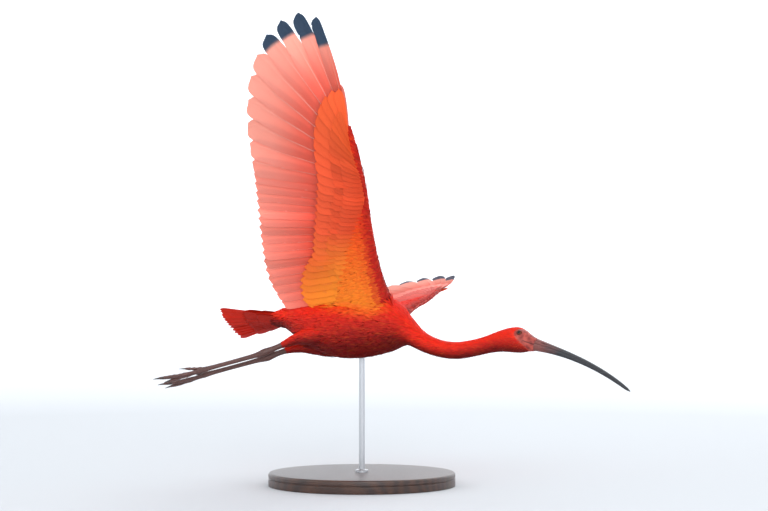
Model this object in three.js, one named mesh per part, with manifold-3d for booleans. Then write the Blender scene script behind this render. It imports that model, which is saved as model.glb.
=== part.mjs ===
// A scarlet ibis in flight, life size, on a rod and a round base.
// Units are millimetres. In the bird's own frame x runs forward, y to its left and z up,
// and zero is at mid-body between the shoulders. The bird is then rolled, right wing up,
// and stood on its rod, so in the part's frame z is up and the floor is at zero.
import * as THREE from "three";
import Module from "manifold-3d";

const wasm = await Module();
wasm.setup();

const DEGREE = Math.PI / 180;
const GAP = 0.3;
const HALF_GAP = GAP / 2;
const RIGHT = -1;
const LEFT = 1;

// The pose: how far the bird is rolled, and where its mid-body stands over the floor.
const ROLL = 29;
const BODY_HEIGHT = 218;
const ROD_FORWARD = -62;
const ROD_SIDE = 8;

const vec = (x, y, z) => new THREE.Vector3(x, y, z);
const mix = (a, b, t) => a + (b - a) * t;

// Shared makers of closed solids

// A solid from shared points and the triangles between them, turned face out if need be.
function solid(points, triangles) {
  const build = (faces) =>
    new wasm.Manifold(
      new wasm.Mesh({
        numProp: 3,
        vertProperties: new Float32Array(points.flatMap((p) => [p.x, p.y, p.z])),
        triVerts: new Uint32Array(faces.flat()),
      }),
    );
  const made = build(triangles);
  return made.volume() > 0 ? made : build(triangles.map(([a, b, c]) => [a, c, b]));
}

// A skin drawn over rings of equally many points, closed at both ends.
function loft(rings) {
  const count = rings[0].length;
  const points = rings.flat();
  const triangles = [];
  for (let ring = 0; ring < rings.length - 1; ring++) {
    for (let j = 0; j < count; j++) {
      const a = ring * count + j;
      const b = ring * count + ((j + 1) % count);
      triangles.push([a, b, b + count], [a, b + count, a + count]);
    }
  }
  const cap = (ring, flipped) => {
    const middle = points.length;
    const centre = rings[ring].reduce((sum, p) => sum.add(p), vec(0, 0, 0));
    points.push(centre.divideScalar(count));
    for (let j = 0; j < count; j++) {
      const a = ring * count + j;
      const b = ring * count + ((j + 1) % count);
      triangles.push(flipped ? [middle, b, a] : [middle, a, b]);
    }
  };
  cap(0, true);
  cap(rings.length - 1, false);
  return solid(points, triangles);
}

// A thin plate between two grids of points, split into triangles alike on both faces.
function plate(top, bottom) {
  const rows = top.length;
  const columns = top[0].length;
  const under = rows * columns;
  const triangles = [];
  for (let row = 0; row < rows - 1; row++) {
    for (let column = 0; column < columns - 1; column++) {
      const a = row * columns + column;
      const [b, c, d] = [a + 1, a + columns + 1, a + columns];
      triangles.push([a, b, c], [a, c, d]);
      triangles.push([a + under, c + under, b + under], [a + under, d + under, c + under]);
    }
  }
  const rim = [];
  for (let column = 0; column < columns - 1; column++) rim.push(column);
  for (let row = 0; row < rows - 1; row++) rim.push(row * columns + columns - 1);
  for (let column = columns - 1; column > 0; column--) rim.push((rows - 1) * columns + column);
  for (let row = rows - 1; row > 0; row--) rim.push(row * columns);
  rim.forEach((p, i) => {
    const q = rim[(i + 1) % rim.length];
    triangles.push([q, p, p + under], [q, p + under, q + under]);
  });
  return solid([...top.flat(), ...bottom.flat()], triangles);
}

// Smooth values between the rows of a table, whose first column is the place along the part.
function smooth(rows) {
  const slope = (i, column) => {
    const before = rows[Math.max(i - 1, 0)];
    const after = rows[Math.min(i + 1, rows.length - 1)];
    return (after[column] - before[column]) / (after[0] - before[0]);
  };
  return (place, column = 1) => {
    let i = 0;
    while (i < rows.length - 2 && place > rows[i + 1][0]) i++;
    const [p, q] = [rows[i], rows[i + 1]];
    const span = q[0] - p[0];
    const t = Math.min(1, Math.max(0, (place - p[0]) / span));
    return (
      p[column] * (1 - t) ** 2 * (1 + 2 * t) +
      q[column] * t ** 2 * (3 - 2 * t) +
      span * (slope(i, column) * t * (1 - t) ** 2 - slope(i + 1, column) * t ** 2 * (1 - t))
    );
  };
}

// The places in a table's first column, with long steps between them divided evenly.
function places(rows, longest) {
  const found = [rows[0][0]];
  for (let i = 1; i < rows.length; i++) {
    const parts = Math.ceil((rows[i][0] - rows[i - 1][0]) / longest);
    for (let k = 1; k <= parts; k++) found.push(mix(rows[i - 1][0], rows[i][0], k / parts));
  }
  return found;
}

// A ring in the plane across a direction that lies in the bird's x-z plane.
function ring({ x, z, tilt, half, high, sides }) {
  const up = vec(-Math.sin(tilt * DEGREE), 0, Math.cos(tilt * DEGREE));
  return Array.from({ length: sides }, (_, j) => {
    const angle = (2 * Math.PI * (j + 0.5)) / sides;
    return vec(x, half * Math.cos(angle), z).addScaledVector(up, high * Math.sin(angle));
  });
}

// A tube along a list of [x, y, z, radius] rows, with rings across its own line.
function tube(rows, sides) {
  const rings = rows.map(([x, y, z, radius], i) => {
    const before = rows[Math.max(i - 1, 0)];
    const after = rows[Math.min(i + 1, rows.length - 1)];
    const along = vec(after[0] - before[0], after[1] - before[1], after[2] - before[2]).normalize();
    const across = vec(0, 1, 0).cross(along).normalize();
    const over = along.clone().cross(across);
    return Array.from({ length: sides }, (_, j) => {
      const angle = (2 * Math.PI * (j + 0.5)) / sides;
      return vec(x, y, z)
        .addScaledVector(across, radius * Math.cos(angle))
        .addScaledVector(over, radius * Math.sin(angle));
    });
  });
  return loft(rings);
}

// A three.js geometry as a solid.
function solidOf(geometry) {
  const at = geometry.attributes.position;
  const shared = new Map();
  const points = [];
  const number = Array.from({ length: at.count }, (_, i) => {
    const p = vec(at.getX(i), at.getY(i), at.getZ(i));
    const key = p.toArray().map((value) => Math.round(value * 1e4)).join();
    if (!shared.has(key)) {
      shared.set(key, points.length);
      points.push(p);
    }
    return shared.get(key);
  });
  const corners = geometry.index ? Array.from(geometry.index.array) : [...number.keys()];
  const triangles = [];
  for (let i = 0; i < corners.length; i += 3) {
    const [a, b, c] = [0, 1, 2].map((k) => number[corners[i + k]]);
    if (a !== b && b !== c && c !== a) triangles.push([a, b, c]);
  }
  return solid(points, triangles);
}

// The part of a solid on the side of a plane that its normal points to.
function beyond(shape, point, normal, margin = HALF_GAP) {
  const n = normal.clone().normalize();
  return largest(shape.trimByPlane(n.toArray(), n.dot(point) + margin));
}

// Only the largest closed surface of a shape, so that no loose scrap stays.
function largest(shape) {
  const bodies = shape.decompose();
  return bodies.reduce((best, body) => (body.volume() > best.volume() ? body : best));
}

// The bird's skin from tail base over torso and neck to the face

// Place along x, height of the middle, tilt in degrees, half width and half height.
const SKIN = [
  [-176, 7, 0, 13, 8],
  [-162, 4, 0, 20, 15.5],
  [-142, 0, 0, 28, 26.5],
  [-115, -4.5, 0, 35.5, 36.5],
  [-85, -6.5, 0, 40, 42.5],
  [-55, -5, 0, 41.5, 43],
  [-30, -3, 0, 39.5, 39.5],
  [-14, -3, 0, 35.5, 34.5],
  [-3, -5, -2, 29.5, 27.5],
  [5, -10, -8, 23.5, 21],
  [12, -14.5, -16, 18.5, 16.8],
  [20, -20.5, -24, 15, 14],
  [31, -27.5, -25, 13, 12.6],
  [43, -33, -20, 12, 11.9],
  [60, -38, -10, 11.4, 11.4],
  [80, -39.5, 3, 11.3, 11.4],
  [100, -36, 13, 11.2, 11.3],
  [116, -31.5, 15, 11.6, 11.6],
  [128, -27.5, 8, 12.8, 13],
  [138, -24.5, -4, 14.3, 15],
  [148, -22.8, -9, 15.4, 16.8],
  [158, -23, -11, 15.6, 17.2],
  [167, -25, -12, 13.9, 15.2],
  [174, -27.2, -13, 11.2, 12.2],
  [180, -29, -14, 9, 9.9],
  [184, -30, -14, 7.9, 8.9],
];
const SKIN_SIDES = 20;
const SKIN_STEP = 20;
const skinAt = smooth(SKIN);

function skinRing(x, extra) {
  const [z, tilt, half, high] = [1, 2, 3, 4].map((column) => skinAt(x, column));
  return ring({ x, z, tilt, half: half + extra, high: high + extra, sides: SKIN_SIDES });
}

function skin(from, to, extra = 0) {
  const inside = places(SKIN, SKIN_STEP).filter((x) => x > from && x < to);
  return loft([from, ...inside, to].map((x) => skinRing(x, extra)));
}

const SKIN_START = SKIN[0][0];
const SKIN_END = SKIN.at(-1)[0];
const NECK_ROOT = vec(22, 0, -22);
const NECK_ROOT_WAY = vec(Math.cos(30 * DEGREE), 0, -Math.sin(30 * DEGREE));
const NAPE = vec(125, 0, -28.5);
const NAPE_WAY = vec(Math.cos(10 * DEGREE), 0, Math.sin(10 * DEGREE));
const SHOULDER_FRONT = 16;
const wholeSkin = skin(SKIN_START, SKIN_END);
const clearOfTorso = skin(SKIN_START, SHOULDER_FRONT, GAP);

// The rod stands upright in the part's frame and ends in a socket in the torso

const toPart = new THREE.Matrix4()
  .makeTranslation(-ROD_FORWARD, -ROD_SIDE, BODY_HEIGHT)
  .multiply(new THREE.Matrix4().makeRotationX(-ROLL * DEGREE));
const ROD_RADIUS = 4;
const ROD_SIDES = 20;
const ROD_FOOT = 6;
const ROD_TOP = BODY_HEIGHT - 14;

function rod(extra) {
  const length = ROD_TOP - ROD_FOOT + 2 * extra;
  const made = new THREE.CylinderGeometry(ROD_RADIUS + extra, ROD_RADIUS + extra, length, ROD_SIDES);
  return made.rotateX(90 * DEGREE).translate(0, 0, (ROD_TOP + ROD_FOOT) / 2);
}

const rodHole = solidOf(rod(GAP).applyMatrix4(toPart.clone().invert()));

const torso = beyond(wholeSkin, NECK_ROOT, NECK_ROOT_WAY.clone().negate()).subtract(rodHole);
const afterTorso = beyond(wholeSkin, NECK_ROOT, NECK_ROOT_WAY);
const neck = beyond(afterTorso, NAPE, NAPE_WAY.clone().negate());
const plainHead = beyond(afterTorso, NAPE, NAPE_WAY);

// The head: eyes in their sockets, the ring of the lids, and the corner of the mouth

const EYE_RADIUS = 4.9;
const EYE = vec(163.5, 10.9, -19.5);
const LID_RADIUS = 4.7;
const LID_THICKNESS = 1.15;
const LID_OUT = 2.6;
const LID_STRETCH = 1.12;
const LID_TILT = 12;
const GAPE = vec(180, 0, -32.2);
const GAPE_TILT = -12;
const GAPE_LENGTH = 22;
const GAPE_HEIGHT = 0.7;
const GAPE_CORE = 7.4;
const GAPE_CUT = 10;

function eyeball(side, extra) {
  const ball = new THREE.IcosahedronGeometry(EYE_RADIUS + extra, 2);
  return solidOf(ball.translate(EYE.x, side * EYE.y, EYE.z));
}

function lids(side) {
  const hoop = new THREE.TorusGeometry(LID_RADIUS, LID_THICKNESS, 6, 18);
  hoop.scale(LID_STRETCH, 1, 1).rotateX(90 * DEGREE).rotateY(LID_TILT * DEGREE);
  return solidOf(hoop.translate(EYE.x, side * (EYE.y + LID_OUT), EYE.z));
}

function mouthCorner(side) {
  const slot = new THREE.BoxGeometry(GAPE_LENGTH, GAPE_CUT, GAPE_HEIGHT);
  slot.rotateY(-GAPE_TILT * DEGREE);
  slot.translate(GAPE.x, side * (GAPE_CORE + GAPE_CUT / 2), GAPE.z);
  return solidOf(slot);
}

const eyes = [RIGHT, LEFT].map((side) => eyeball(side, 0));
const head = largest(
  wasm.Manifold.union([plainHead, lids(RIGHT), lids(LEFT)])
    .subtract(eyeball(RIGHT, GAP))
    .subtract(eyeball(LEFT, GAP))
    .subtract(mouthCorner(RIGHT))
    .subtract(mouthCorner(LEFT)),
);

// The bill: long and bent down, in two halves that meet along the mouth

const BILL_LENGTH = 147;
const BILL_ROOT = vec(184.4, 0, -30.1);
const BILL_START_TILT = -15;
const BILL_TURN = -24;
const BILL_TURN_LATE = 1.15;
const LOWER_LENGTH = 0.985;
const MOUTH_LINE = -0.16;
// Share of the length, half width and half height.
const BILL = smooth([
  [0, 7.7, 8.7],
  [0.07, 6.6, 7.5],
  [0.16, 5.4, 6.3],
  [0.3, 4.3, 5.1],
  [0.5, 3.5, 4.1],
  [0.72, 2.9, 3.3],
  [0.9, 2.3, 2.6],
  [0.97, 1.7, 1.9],
  [1, 0.9, 1],
]);
const BILL_STEPS = [0, 0.04, 0.09, 0.16, 0.24, 0.33, 0.43, 0.54, 0.65, 0.76, 0.86, 0.93, 0.975, 1];
// Angles round the section from the bird's left, and how far each lies from the middle.
const UPPER_HALF = [
  [-6, 1], [10, 0.99], [24, 0.84], [40, 0.98], [64, 1], [90, 1.02],
  [116, 1], [140, 0.98], [156, 0.84], [170, 0.99], [186, 1],
];
const LOWER_HALF = [
  [-6, 1], [-28, 0.99], [-58, 0.95], [-90, 0.93], [-122, 0.95], [-152, 0.99], [-174, 1],
];
const NOSTRIL_AT = 0.075;
const NOSTRIL_SIZE = vec(4.6, 2.2, 0.8);
const NOSTRIL_SIDE = 6.4;
const NOSTRIL_UP = 3.2;

function billFrame(share) {
  const steps = 24;
  const at = BILL_ROOT.clone();
  const tiltAt = (s) => (BILL_START_TILT + BILL_TURN * s ** BILL_TURN_LATE) * DEGREE;
  for (let i = 0; i < steps; i++) {
    const tilt = tiltAt((share * (i + 0.5)) / steps);
    at.addScaledVector(vec(Math.cos(tilt), 0, Math.sin(tilt)), (BILL_LENGTH * share) / steps);
  }
  return { at, tilt: tiltAt(share) / DEGREE };
}

function billHalf(section, side, length) {
  return loft(
    BILL_STEPS.map((share) => {
      const { at, tilt } = billFrame(share * length);
      const [half, high] = [BILL(share, 1), BILL(share, 2)];
      const up = vec(-Math.sin(tilt * DEGREE), 0, Math.cos(tilt * DEGREE));
      return section.map(([angle, reach]) => {
        const over = high * reach * Math.sin(angle * DEGREE);
        const mouth = high * MOUTH_LINE + side * HALF_GAP;
        const clear = side > 0 ? Math.max(over, mouth) : Math.min(over, mouth);
        const across = half * reach * Math.cos(angle * DEGREE);
        return vec(at.x, at.y + across, at.z).addScaledVector(up, clear);
      });
    }),
  );
}

function nostril(side) {
  const { at, tilt } = billFrame(NOSTRIL_AT);
  const slit = new THREE.SphereGeometry(1, 8, 6).scale(...NOSTRIL_SIZE);
  slit.rotateY(-tilt * DEGREE);
  return solidOf(slit.translate(at.x, side * NOSTRIL_SIDE, at.z + NOSTRIL_UP));
}

const billUpper = billHalf(UPPER_HALF, 1, 1).subtract(nostril(RIGHT)).subtract(nostril(LEFT));
const billLower = billHalf(LOWER_HALF, -1, LOWER_LENGTH);

// The wing is drawn flat, u out along the span and v forward, then bent to its raised pose

const WING_ROOT = vec(-26, 28, 14);
const WING_LENGTH = 408;
const RAISE_ROOT = 41;
const RAISE_TIP = 32;
const PITCH_ROOT = -2;
const PITCH_TIP = -3;
const FEATHER_CAMBER = 1500;
const TIP_SWEEP_UP = 1400;
const CAMBER_FROM = -20;
const UPSWEEP_FROM = 230;

function meanHeight(u, v) {
  const behind = Math.max(0, CAMBER_FROM - v);
  const beyondHand = Math.max(0, u - UPSWEEP_FROM);
  return beyondHand ** 2 / (2 * TIP_SWEEP_UP) - behind ** 2 / (2 * FEATHER_CAMBER);
}

// w is the height above the wing's mean surface.
function wingPoint(side, u, v, w) {
  const bend = ((RAISE_TIP - RAISE_ROOT) * DEGREE) / WING_LENGTH;
  const start = RAISE_ROOT * DEGREE;
  const raise = start + bend * u;
  const pitch = mix(PITCH_ROOT, PITCH_TIP, u / WING_LENGTH) * DEGREE;
  const out = (Math.sin(raise) - Math.sin(start)) / bend;
  const up = (Math.cos(start) - Math.cos(raise)) / bend;
  const height = meanHeight(u, v) + w;
  const forward = v * Math.cos(pitch) + height * Math.sin(pitch);
  const lift = height * Math.cos(pitch) - v * Math.sin(pitch);
  return vec(
    WING_ROOT.x + forward,
    side * (WING_ROOT.y + out - lift * Math.sin(raise)),
    WING_ROOT.z + up + lift * Math.cos(raise),
  );
}

// Span, leading edge, back of the flesh, thickness.
const ARM = [
  [-6, 16, -66, 46],
  [12, 14, -66, 40],
  [34, 9, -64, 30],
  [60, 5, -60, 22],
  [90, 3, -56, 17],
  [120, 2, -45, 14],
  [150, 2, -33, 12],
  [174, 1, -27, 11],
  [200, -1, -28, 9],
  [228, -4, -29, 7],
  [254, -8, -26, 4],
];
const ARM_SIDES = 10;
const ARM_STEP = 40;
// The flesh is full near its leading edge and thins towards the back.
const FULLNESS = 0.66;
const FRONT_FULLNESS = 0.34;
const FULLEST_AT = 0.3;
const armAt = smooth(ARM);

function arm(side) {
  return loft(
    places(ARM, ARM_STEP).map((u) => {
      const [front, back, thick] = [1, 2, 3].map((column) => armAt(u, column));
      return Array.from({ length: ARM_SIDES }, (_, j) => {
        const angle = (2 * Math.PI * (j + 0.5)) / ARM_SIDES;
        const v = mix(back, front, 0.5 + 0.5 * Math.cos(angle));
        const fullness = FULLNESS + FRONT_FULLNESS * Math.cos(angle - FULLEST_AT);
        return wingPoint(side, u, v, (thick / 2) * Math.sin(angle) * fullness);
      });
    }),
  );
}

// Feathers are thin vanes in tiers. Each lies along a quill, and its leading edge rides over
// the trailing edge of the next one further out, with a clear gap between the two.

const VANE_THICKNESS = 0.6;
const VANE_RISE = 1;
const AHEAD_SHARE = 0.55;
const BEHIND_SHARE = 0.95;
const AHEAD_MOST = 10.5;
const BEHIND_MOST = 20;
// Share of the feather's length, and its width there as a share of the full width.
const LONG_VANE = [[0, 1], [0.35, 1], [0.65, 1], [0.86, 0.9], [0.96, 0.58], [1, 0.16]];
const BROAD_VANE = [[0, 1], [0.45, 1], [0.86, 0.95], [0.96, 0.62], [1, 0.2]];
const SHORT_VANE = [[0, 0.9], [0.8, 0.95], [1, 0.3]];

// One vane: line(t) gives its middle as [a, b, height], spacing(t) the room up to the next one,
// and place turns [a, b, height] into a point of the bird.
function vane({ line, spacing, place, outline, ahead = AHEAD_SHARE, behind = BEHIND_SHARE }) {
  const rows = outline.map(([t, width]) => {
    const [here, next] = [line(t), line(t + 0.01)];
    const run = Math.hypot(next[0] - here[0], next[1] - here[1]);
    const across = [(here[1] - next[1]) / run, (next[0] - here[0]) / run];
    const room = spacing(t);
    const edges = [
      width * Math.min(ahead * room, AHEAD_MOST),
      -width * Math.min(behind * room, BEHIND_MOST),
    ];
    const half = (VANE_THICKNESS / 2) * mix(1, 0.6, t ** 4);
    return [half, -half].map((over) =>
      edges.map((reach) =>
        place(
          here[0] + across[0] * reach,
          here[1] + across[1] * reach,
          here[2] + (VANE_RISE * reach) / room + over,
        ),
      ),
    );
  });
  return plate(rows.map(([top]) => top), rows.map(([, bottom]) => bottom));
}

// The wing's quills, counted outward: three tertials, thirteen secondaries, ten primaries.
// Number, where it is rooted and where it ends, each as a place along the span and the chord.
const QUILLS = smooth([
  [-1, 8, -42, -6, -130],
  [0, 19, -44, 5, -137],
  [3, 54, -46, 40, -151],
  [6, 82, -42, 77, -154],
  [9, 108, -34, 114, -153],
  [12, 134, -25, 151, -151],
  [15, 160, -16, 190, -149],
  [16, 170, -14, 207, -148],
  [18, 187, -14, 262, -145],
  [20, 203, -15, 325, -131],
  [22, 220, -15, 379, -102],
  [23, 228, -15, 396, -81],
  [24, 236, -14, 404, -57],
  [25, 243, -13, 398, -34],
  [26, 249, -11, 385, -13],
]);
const REMEX_COUNT = 26;
const FIRST_PRIMARY = 16;
const FIRST_FINGER = 22;
const FINGER_NARROWING = 0.36;
const OUTERMOST_AHEAD = 0.3;
const PRIMARY_BOW = 4.5;

// The middle of a quill, t from root to tip, with the outer primaries bowed forward.
function quill(number, t) {
  const [u0, v0, u1, v1] = [1, 2, 3, 4].map((column) => QUILLS(number, column));
  const bow = PRIMARY_BOW * Math.min(1, Math.max(0, (number - FIRST_PRIMARY) / 6)) * 4 * t * (1 - t);
  const run = Math.hypot(u1 - u0, v1 - v0);
  return [mix(u0, u1, t) + (bow * (v0 - v1)) / run, mix(v0, v1, t) + (bow * (u1 - u0)) / run];
}

// How far apart the quills lie, measured square to their run.
function quillSpacing(number, t, step) {
  const [here, next] = [quill(number, t), quill(number, t + 0.01)];
  const [inner, outer] = [quill(number - step / 2, t), quill(number + step / 2, t)];
  const [du, dv] = [next[0] - here[0], next[1] - here[1]];
  const crossing = (outer[0] - inner[0]) * dv - (outer[1] - inner[1]) * du;
  return Math.abs(crossing) / Math.hypot(du, dv);
}

// A flight feather; the last few narrow towards their tips, so that they part like fingers.
function remex(side, number) {
  const finger = Math.min(1, Math.max(0, (number - FIRST_FINGER + 1) / 2));
  const outline = (number < FIRST_PRIMARY ? BROAD_VANE : LONG_VANE).map(([t, width]) => [
    t,
    width * (1 - FINGER_NARROWING * finger * Math.min(1, Math.max(0, (t - 0.5) / 0.35))),
  ]);
  return vane({
    line: (t) => [...quill(number, t), 0],
    spacing: (t) => quillSpacing(number, t, 1),
    place: (u, v, w) => wingPoint(side, u, v, w),
    outline,
    ahead: number === REMEX_COUNT - 1 ? OUTERMOST_AHEAD : AHEAD_SHARE,
  });
}

// The coverts: number of vanes, first and last quill they lie along, where along it they
// start and end, and their height over the wing's mean surface at root and tip.
const GREATER_COVERTS = { count: 19, first: 0.4, last: 24.2, from: 0, to: 0.4, heights: [2, 2.6] };
const MEDIAN_COVERTS = { count: 10, first: 1, last: 14.5, from: -0.14, to: 0.19, heights: [4, 5] };
const UNDER_COVERTS = { count: 16, first: 0.6, last: 24.2, from: 0, to: 0.36, heights: [-2.1, -2.7] };

function covertTier(side, tier) {
  const step = (tier.last - tier.first) / (tier.count - 1);
  return Array.from({ length: tier.count }, (_, i) => {
    const number = tier.first + i * step;
    const along = (t) => mix(tier.from, tier.to, t);
    return vane({
      line: (t) => [...quill(number, along(t)), mix(...tier.heights, Math.min(1, 1.6 * t))],
      spacing: (t) => quillSpacing(number, along(t), step),
      place: (u, v, w) => wingPoint(side, u, v, w),
      outline: SHORT_VANE,
    });
  });
}

// The two short feathers of the thumb, along the leading edge just past the wrist.
const THUMB = [
  { root: [174, -2, 3], tip: [220, -6, 6] },
  { root: [179, -8, 3], tip: [230, -14, 6.2] },
];
const THUMB_ROOM = 9;

function thumb(side) {
  return THUMB.map(({ root, tip }) =>
    vane({
      line: (t) => root.map((value, i) => mix(value, tip[i], t)),
      spacing: () => THUMB_ROOM,
      place: (u, v, w) => wingPoint(side, u, v, w),
      outline: SHORT_VANE,
    }),
  );
}

// The wing is parted at the wrist, along the gap between secondaries and primaries.
const WRIST_QUILL = FIRST_PRIMARY - 0.5;

function wing(side) {
  const pieces = [
    arm(side),
    ...Array.from({ length: REMEX_COUNT }, (_, number) => remex(side, number)),
    ...[GREATER_COVERTS, MEDIAN_COVERTS, UNDER_COVERTS].flatMap((tier) => covertTier(side, tier)),
    ...thumb(side),
  ];
  const whole = largest(wasm.Manifold.union(pieces).subtract(clearOfTorso));
  const wrist = wingPoint(side, ...quill(WRIST_QUILL, 0), 0);
  const behind = wingPoint(side, ...quill(WRIST_QUILL, 1), 0).sub(wrist);
  const above = wingPoint(side, ...quill(WRIST_QUILL, 0), 10).sub(wrist);
  const outward = behind.cross(above).multiplyScalar(side);
  const outer = beyond(whole, wrist, outward);
  const inner = beyond(whole, wrist, outward.clone().negate());
  return { inner, outer };
}

const wings = [wing(RIGHT), wing(LEFT)];

// The tail: a fleshy root with the fan behind it

const TAIL_ROOT = vec(-160, 0, 6);
const TAIL_TILT = 6;
const TAIL_LENGTH = 93;

function tailPoint(back, across, w) {
  const [cos, sin] = [Math.cos(TAIL_TILT * DEGREE), Math.sin(TAIL_TILT * DEGREE)];
  return vec(TAIL_ROOT.x - back * cos - w * sin, across, TAIL_ROOT.z - back * sin + w * cos);
}

// Distance behind the root, half width, half thickness.
const RUMP = [
  [4, 20, 12],
  [18, 17, 7.5],
  [30, 15, 4.5],
  [42, 14, 2.4],
];
const RUMP_SIDES = 10;

function rump() {
  return loft(
    RUMP.map(([back, half, thick]) =>
      Array.from({ length: RUMP_SIDES }, (_, j) => {
        const angle = (2 * Math.PI * (j + 0.5)) / RUMP_SIDES;
        return tailPoint(back, half * Math.cos(angle), thick * Math.sin(angle));
      }),
    ),
  );
}

// Half of the fan is drawn with its side away from the middle as a; the right half mirrors it.
const FAN_HALF = 50;
const FAN_FEATHERS = 6;
const FAN_ROOT_HALF = 11;
const FAN_ROUNDING = 7;
const FAN_START = 12;
// The inner edges of the middle pair stop just short of each other.
const MIDDLE_BEHIND = 0.46;
// Per side above and then below: number, start and end along the fan, height over its middle.
const TAIL_COVERTS = [
  { count: 3, from: -0.02, to: 0.55, heights: [3.2, 2.6] },
  { count: 3, from: 0, to: 0.62, heights: [-3.2, -2.6] },
];

function fanLine(place, t) {
  const length = TAIL_LENGTH - FAN_START - FAN_ROUNDING * place ** 2;
  return [place * mix(FAN_ROOT_HALF, FAN_HALF, t), FAN_START + length * t];
}

function fanVanes(side, { count, from, to, heights }, outline) {
  const step = 1 / (count + BEHIND_SHARE - AHEAD_SHARE);
  return Array.from({ length: count }, (_, i) => {
    const place = (i + 0.5) * step;
    const along = (t) => mix(from, to, t);
    return vane({
      line: (t) => [...fanLine(place, along(t)), mix(...heights, t)],
      spacing: (t) => step * mix(FAN_ROOT_HALF, FAN_HALF, along(t)),
      place: (across, back, w) => tailPoint(back, side * across, w),
      outline,
      behind: i === 0 ? MIDDLE_BEHIND : BEHIND_SHARE,
    });
  });
}

const tailVanes = [RIGHT, LEFT].flatMap((side) => [
  ...fanVanes(side, { count: FAN_FEATHERS, from: 0, to: 1, heights: [0, 0] }, BROAD_VANE),
  ...TAIL_COVERTS.flatMap((tier) => fanVanes(side, tier, SHORT_VANE)),
]);
const tail = largest(wasm.Manifold.union([rump(), ...tailVanes]).subtract(clearOfTorso));

// The legs trail behind: feathered thigh and bare shank, tarsus, then the toes

// x, distance from the middle, z and radius down the leg.
const LEG = [
  [-70, 20, -20, 9],
  [-88, 19, -24.5, 13],
  [-106, 17.5, -27, 14.2],
  [-124, 15, -28.5, 12.5],
  [-140, 12.2, -31, 9.3],
  [-152, 10, -34.5, 6.3],
  [-160, 8.6, -37.8, 4.4],
  [-172, 7.6, -43, 3.8],
  [-181, 7.2, -47.2, 4.6],
  [-187, 7, -50, 5.2],
  [-194, 6.9, -52.8, 4.2],
  [-203, 6.8, -55.8, 3.3],
  [-230, 6.7, -64.4, 3],
  [-256, 6.7, -72.6, 3.1],
  [-270, 6.8, -77, 3.8],
  [-277, 6.9, -79.2, 4.6],
];
const LEG_SIDES = 10;
const ANKLE = vec(-187, 0, -50);
const TOE_JOINT = vec(-275, 0, -78.6);
const LEG_WAY = vec(-91, 0, -28);

function leg(side) {
  const whole = tube(LEG.map(([x, y, z, radius]) => [x, side * y, z, radius]), LEG_SIDES);
  const clear = largest(whole.subtract(clearOfTorso));
  return {
    shank: beyond(clear, ANKLE, LEG_WAY.clone().negate()),
    tarsus: beyond(beyond(clear, ANKLE, LEG_WAY), TOE_JOINT, LEG_WAY.clone().negate()),
  };
}

const legs = [leg(RIGHT), leg(LEFT)];

// Each toe: where it leaves the joint, its length, spread to the side and droop in degrees.
const FOOT_AT = vec(-274, 6.9, -78.2);
const TOES = [
  { length: 46, spread: -3.5, droop: 22, radius: 2.6, rise: -0.6 },
  { length: 60, spread: 1.5, droop: 18, radius: 2.8, rise: -0.9 },
  { length: 52, spread: 7, droop: 21, radius: 2.6, rise: -0.6 },
  { length: 23, spread: 0, droop: 3, radius: 2.2, rise: 2.6 },
];
const TOE_SIDES = 6;
const TOE_STEPS = [0, 0.12, 0.3, 0.38, 0.6, 0.68, 0.9, 1];
const TOE_SHAPE = [1.15, 1, 0.86, 1, 0.78, 0.92, 0.72, 0.5];
const TOE_CURL = 0.0016;
const CLAW_LENGTH = 8.5;
const CLAW_STEPS = [0, 0.5, 1];
const CLAW_SHAPE = [0.5, 0.36, 0.14];
const WEB_REACHES = [0.02, 0.2, 0.32];
const WEB_HOLLOW = 0.24;
const WEB_HALF_THICKNESS = 0.5;

function toePoint(side, toe, distance) {
  const curl = TOE_CURL * distance ** 2;
  const droop = toe.droop * DEGREE;
  const spread = side * toe.spread * DEGREE;
  return vec(
    FOOT_AT.x - distance * Math.cos(droop) * Math.cos(spread),
    side * FOOT_AT.y + distance * Math.sin(spread),
    FOOT_AT.z + toe.rise - distance * Math.sin(droop) + curl,
  );
}

function toeTube(side, toe, from, to, steps, shape) {
  return tube(
    steps.map((step, i) => {
      const at = toePoint(side, toe, mix(from, to, step));
      return [at.x, at.y, at.z, toe.radius * shape[i]];
    }),
    TOE_SIDES,
  );
}

function web(side, first, second) {
  const face = (w) =>
    WEB_REACHES.map((share, row) =>
      [0, 0.5, 1].map((t) => {
        const reach = row === 2 && t === 0.5 ? WEB_HOLLOW : share;
        const a = toePoint(side, first, first.length * reach);
        const b = toePoint(side, second, second.length * reach);
        return a.lerp(b, t).add(vec(0, 0, w));
      }),
    );
  return plate(face(WEB_HALF_THICKNESS), face(-WEB_HALF_THICKNESS));
}

function foot(side) {
  const toes = TOES.map((toe) => toeTube(side, toe, 0, toe.length, TOE_STEPS, TOE_SHAPE));
  const webs = [web(side, TOES[0], TOES[1]), web(side, TOES[1], TOES[2])];
  return beyond(wasm.Manifold.union([...toes, ...webs]), TOE_JOINT, LEG_WAY);
}

function claw(side, toe) {
  const from = toe.length + GAP;
  return toeTube(side, toe, from, from + CLAW_LENGTH, CLAW_STEPS, CLAW_SHAPE);
}

// The stand: a turned wooden base and a steel rod

const BASE_RADIUS = 125;
const BASE_HEIGHT = 18;
const BASE_EDGE = 3;
const BASE_SIDES = 48;

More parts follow.
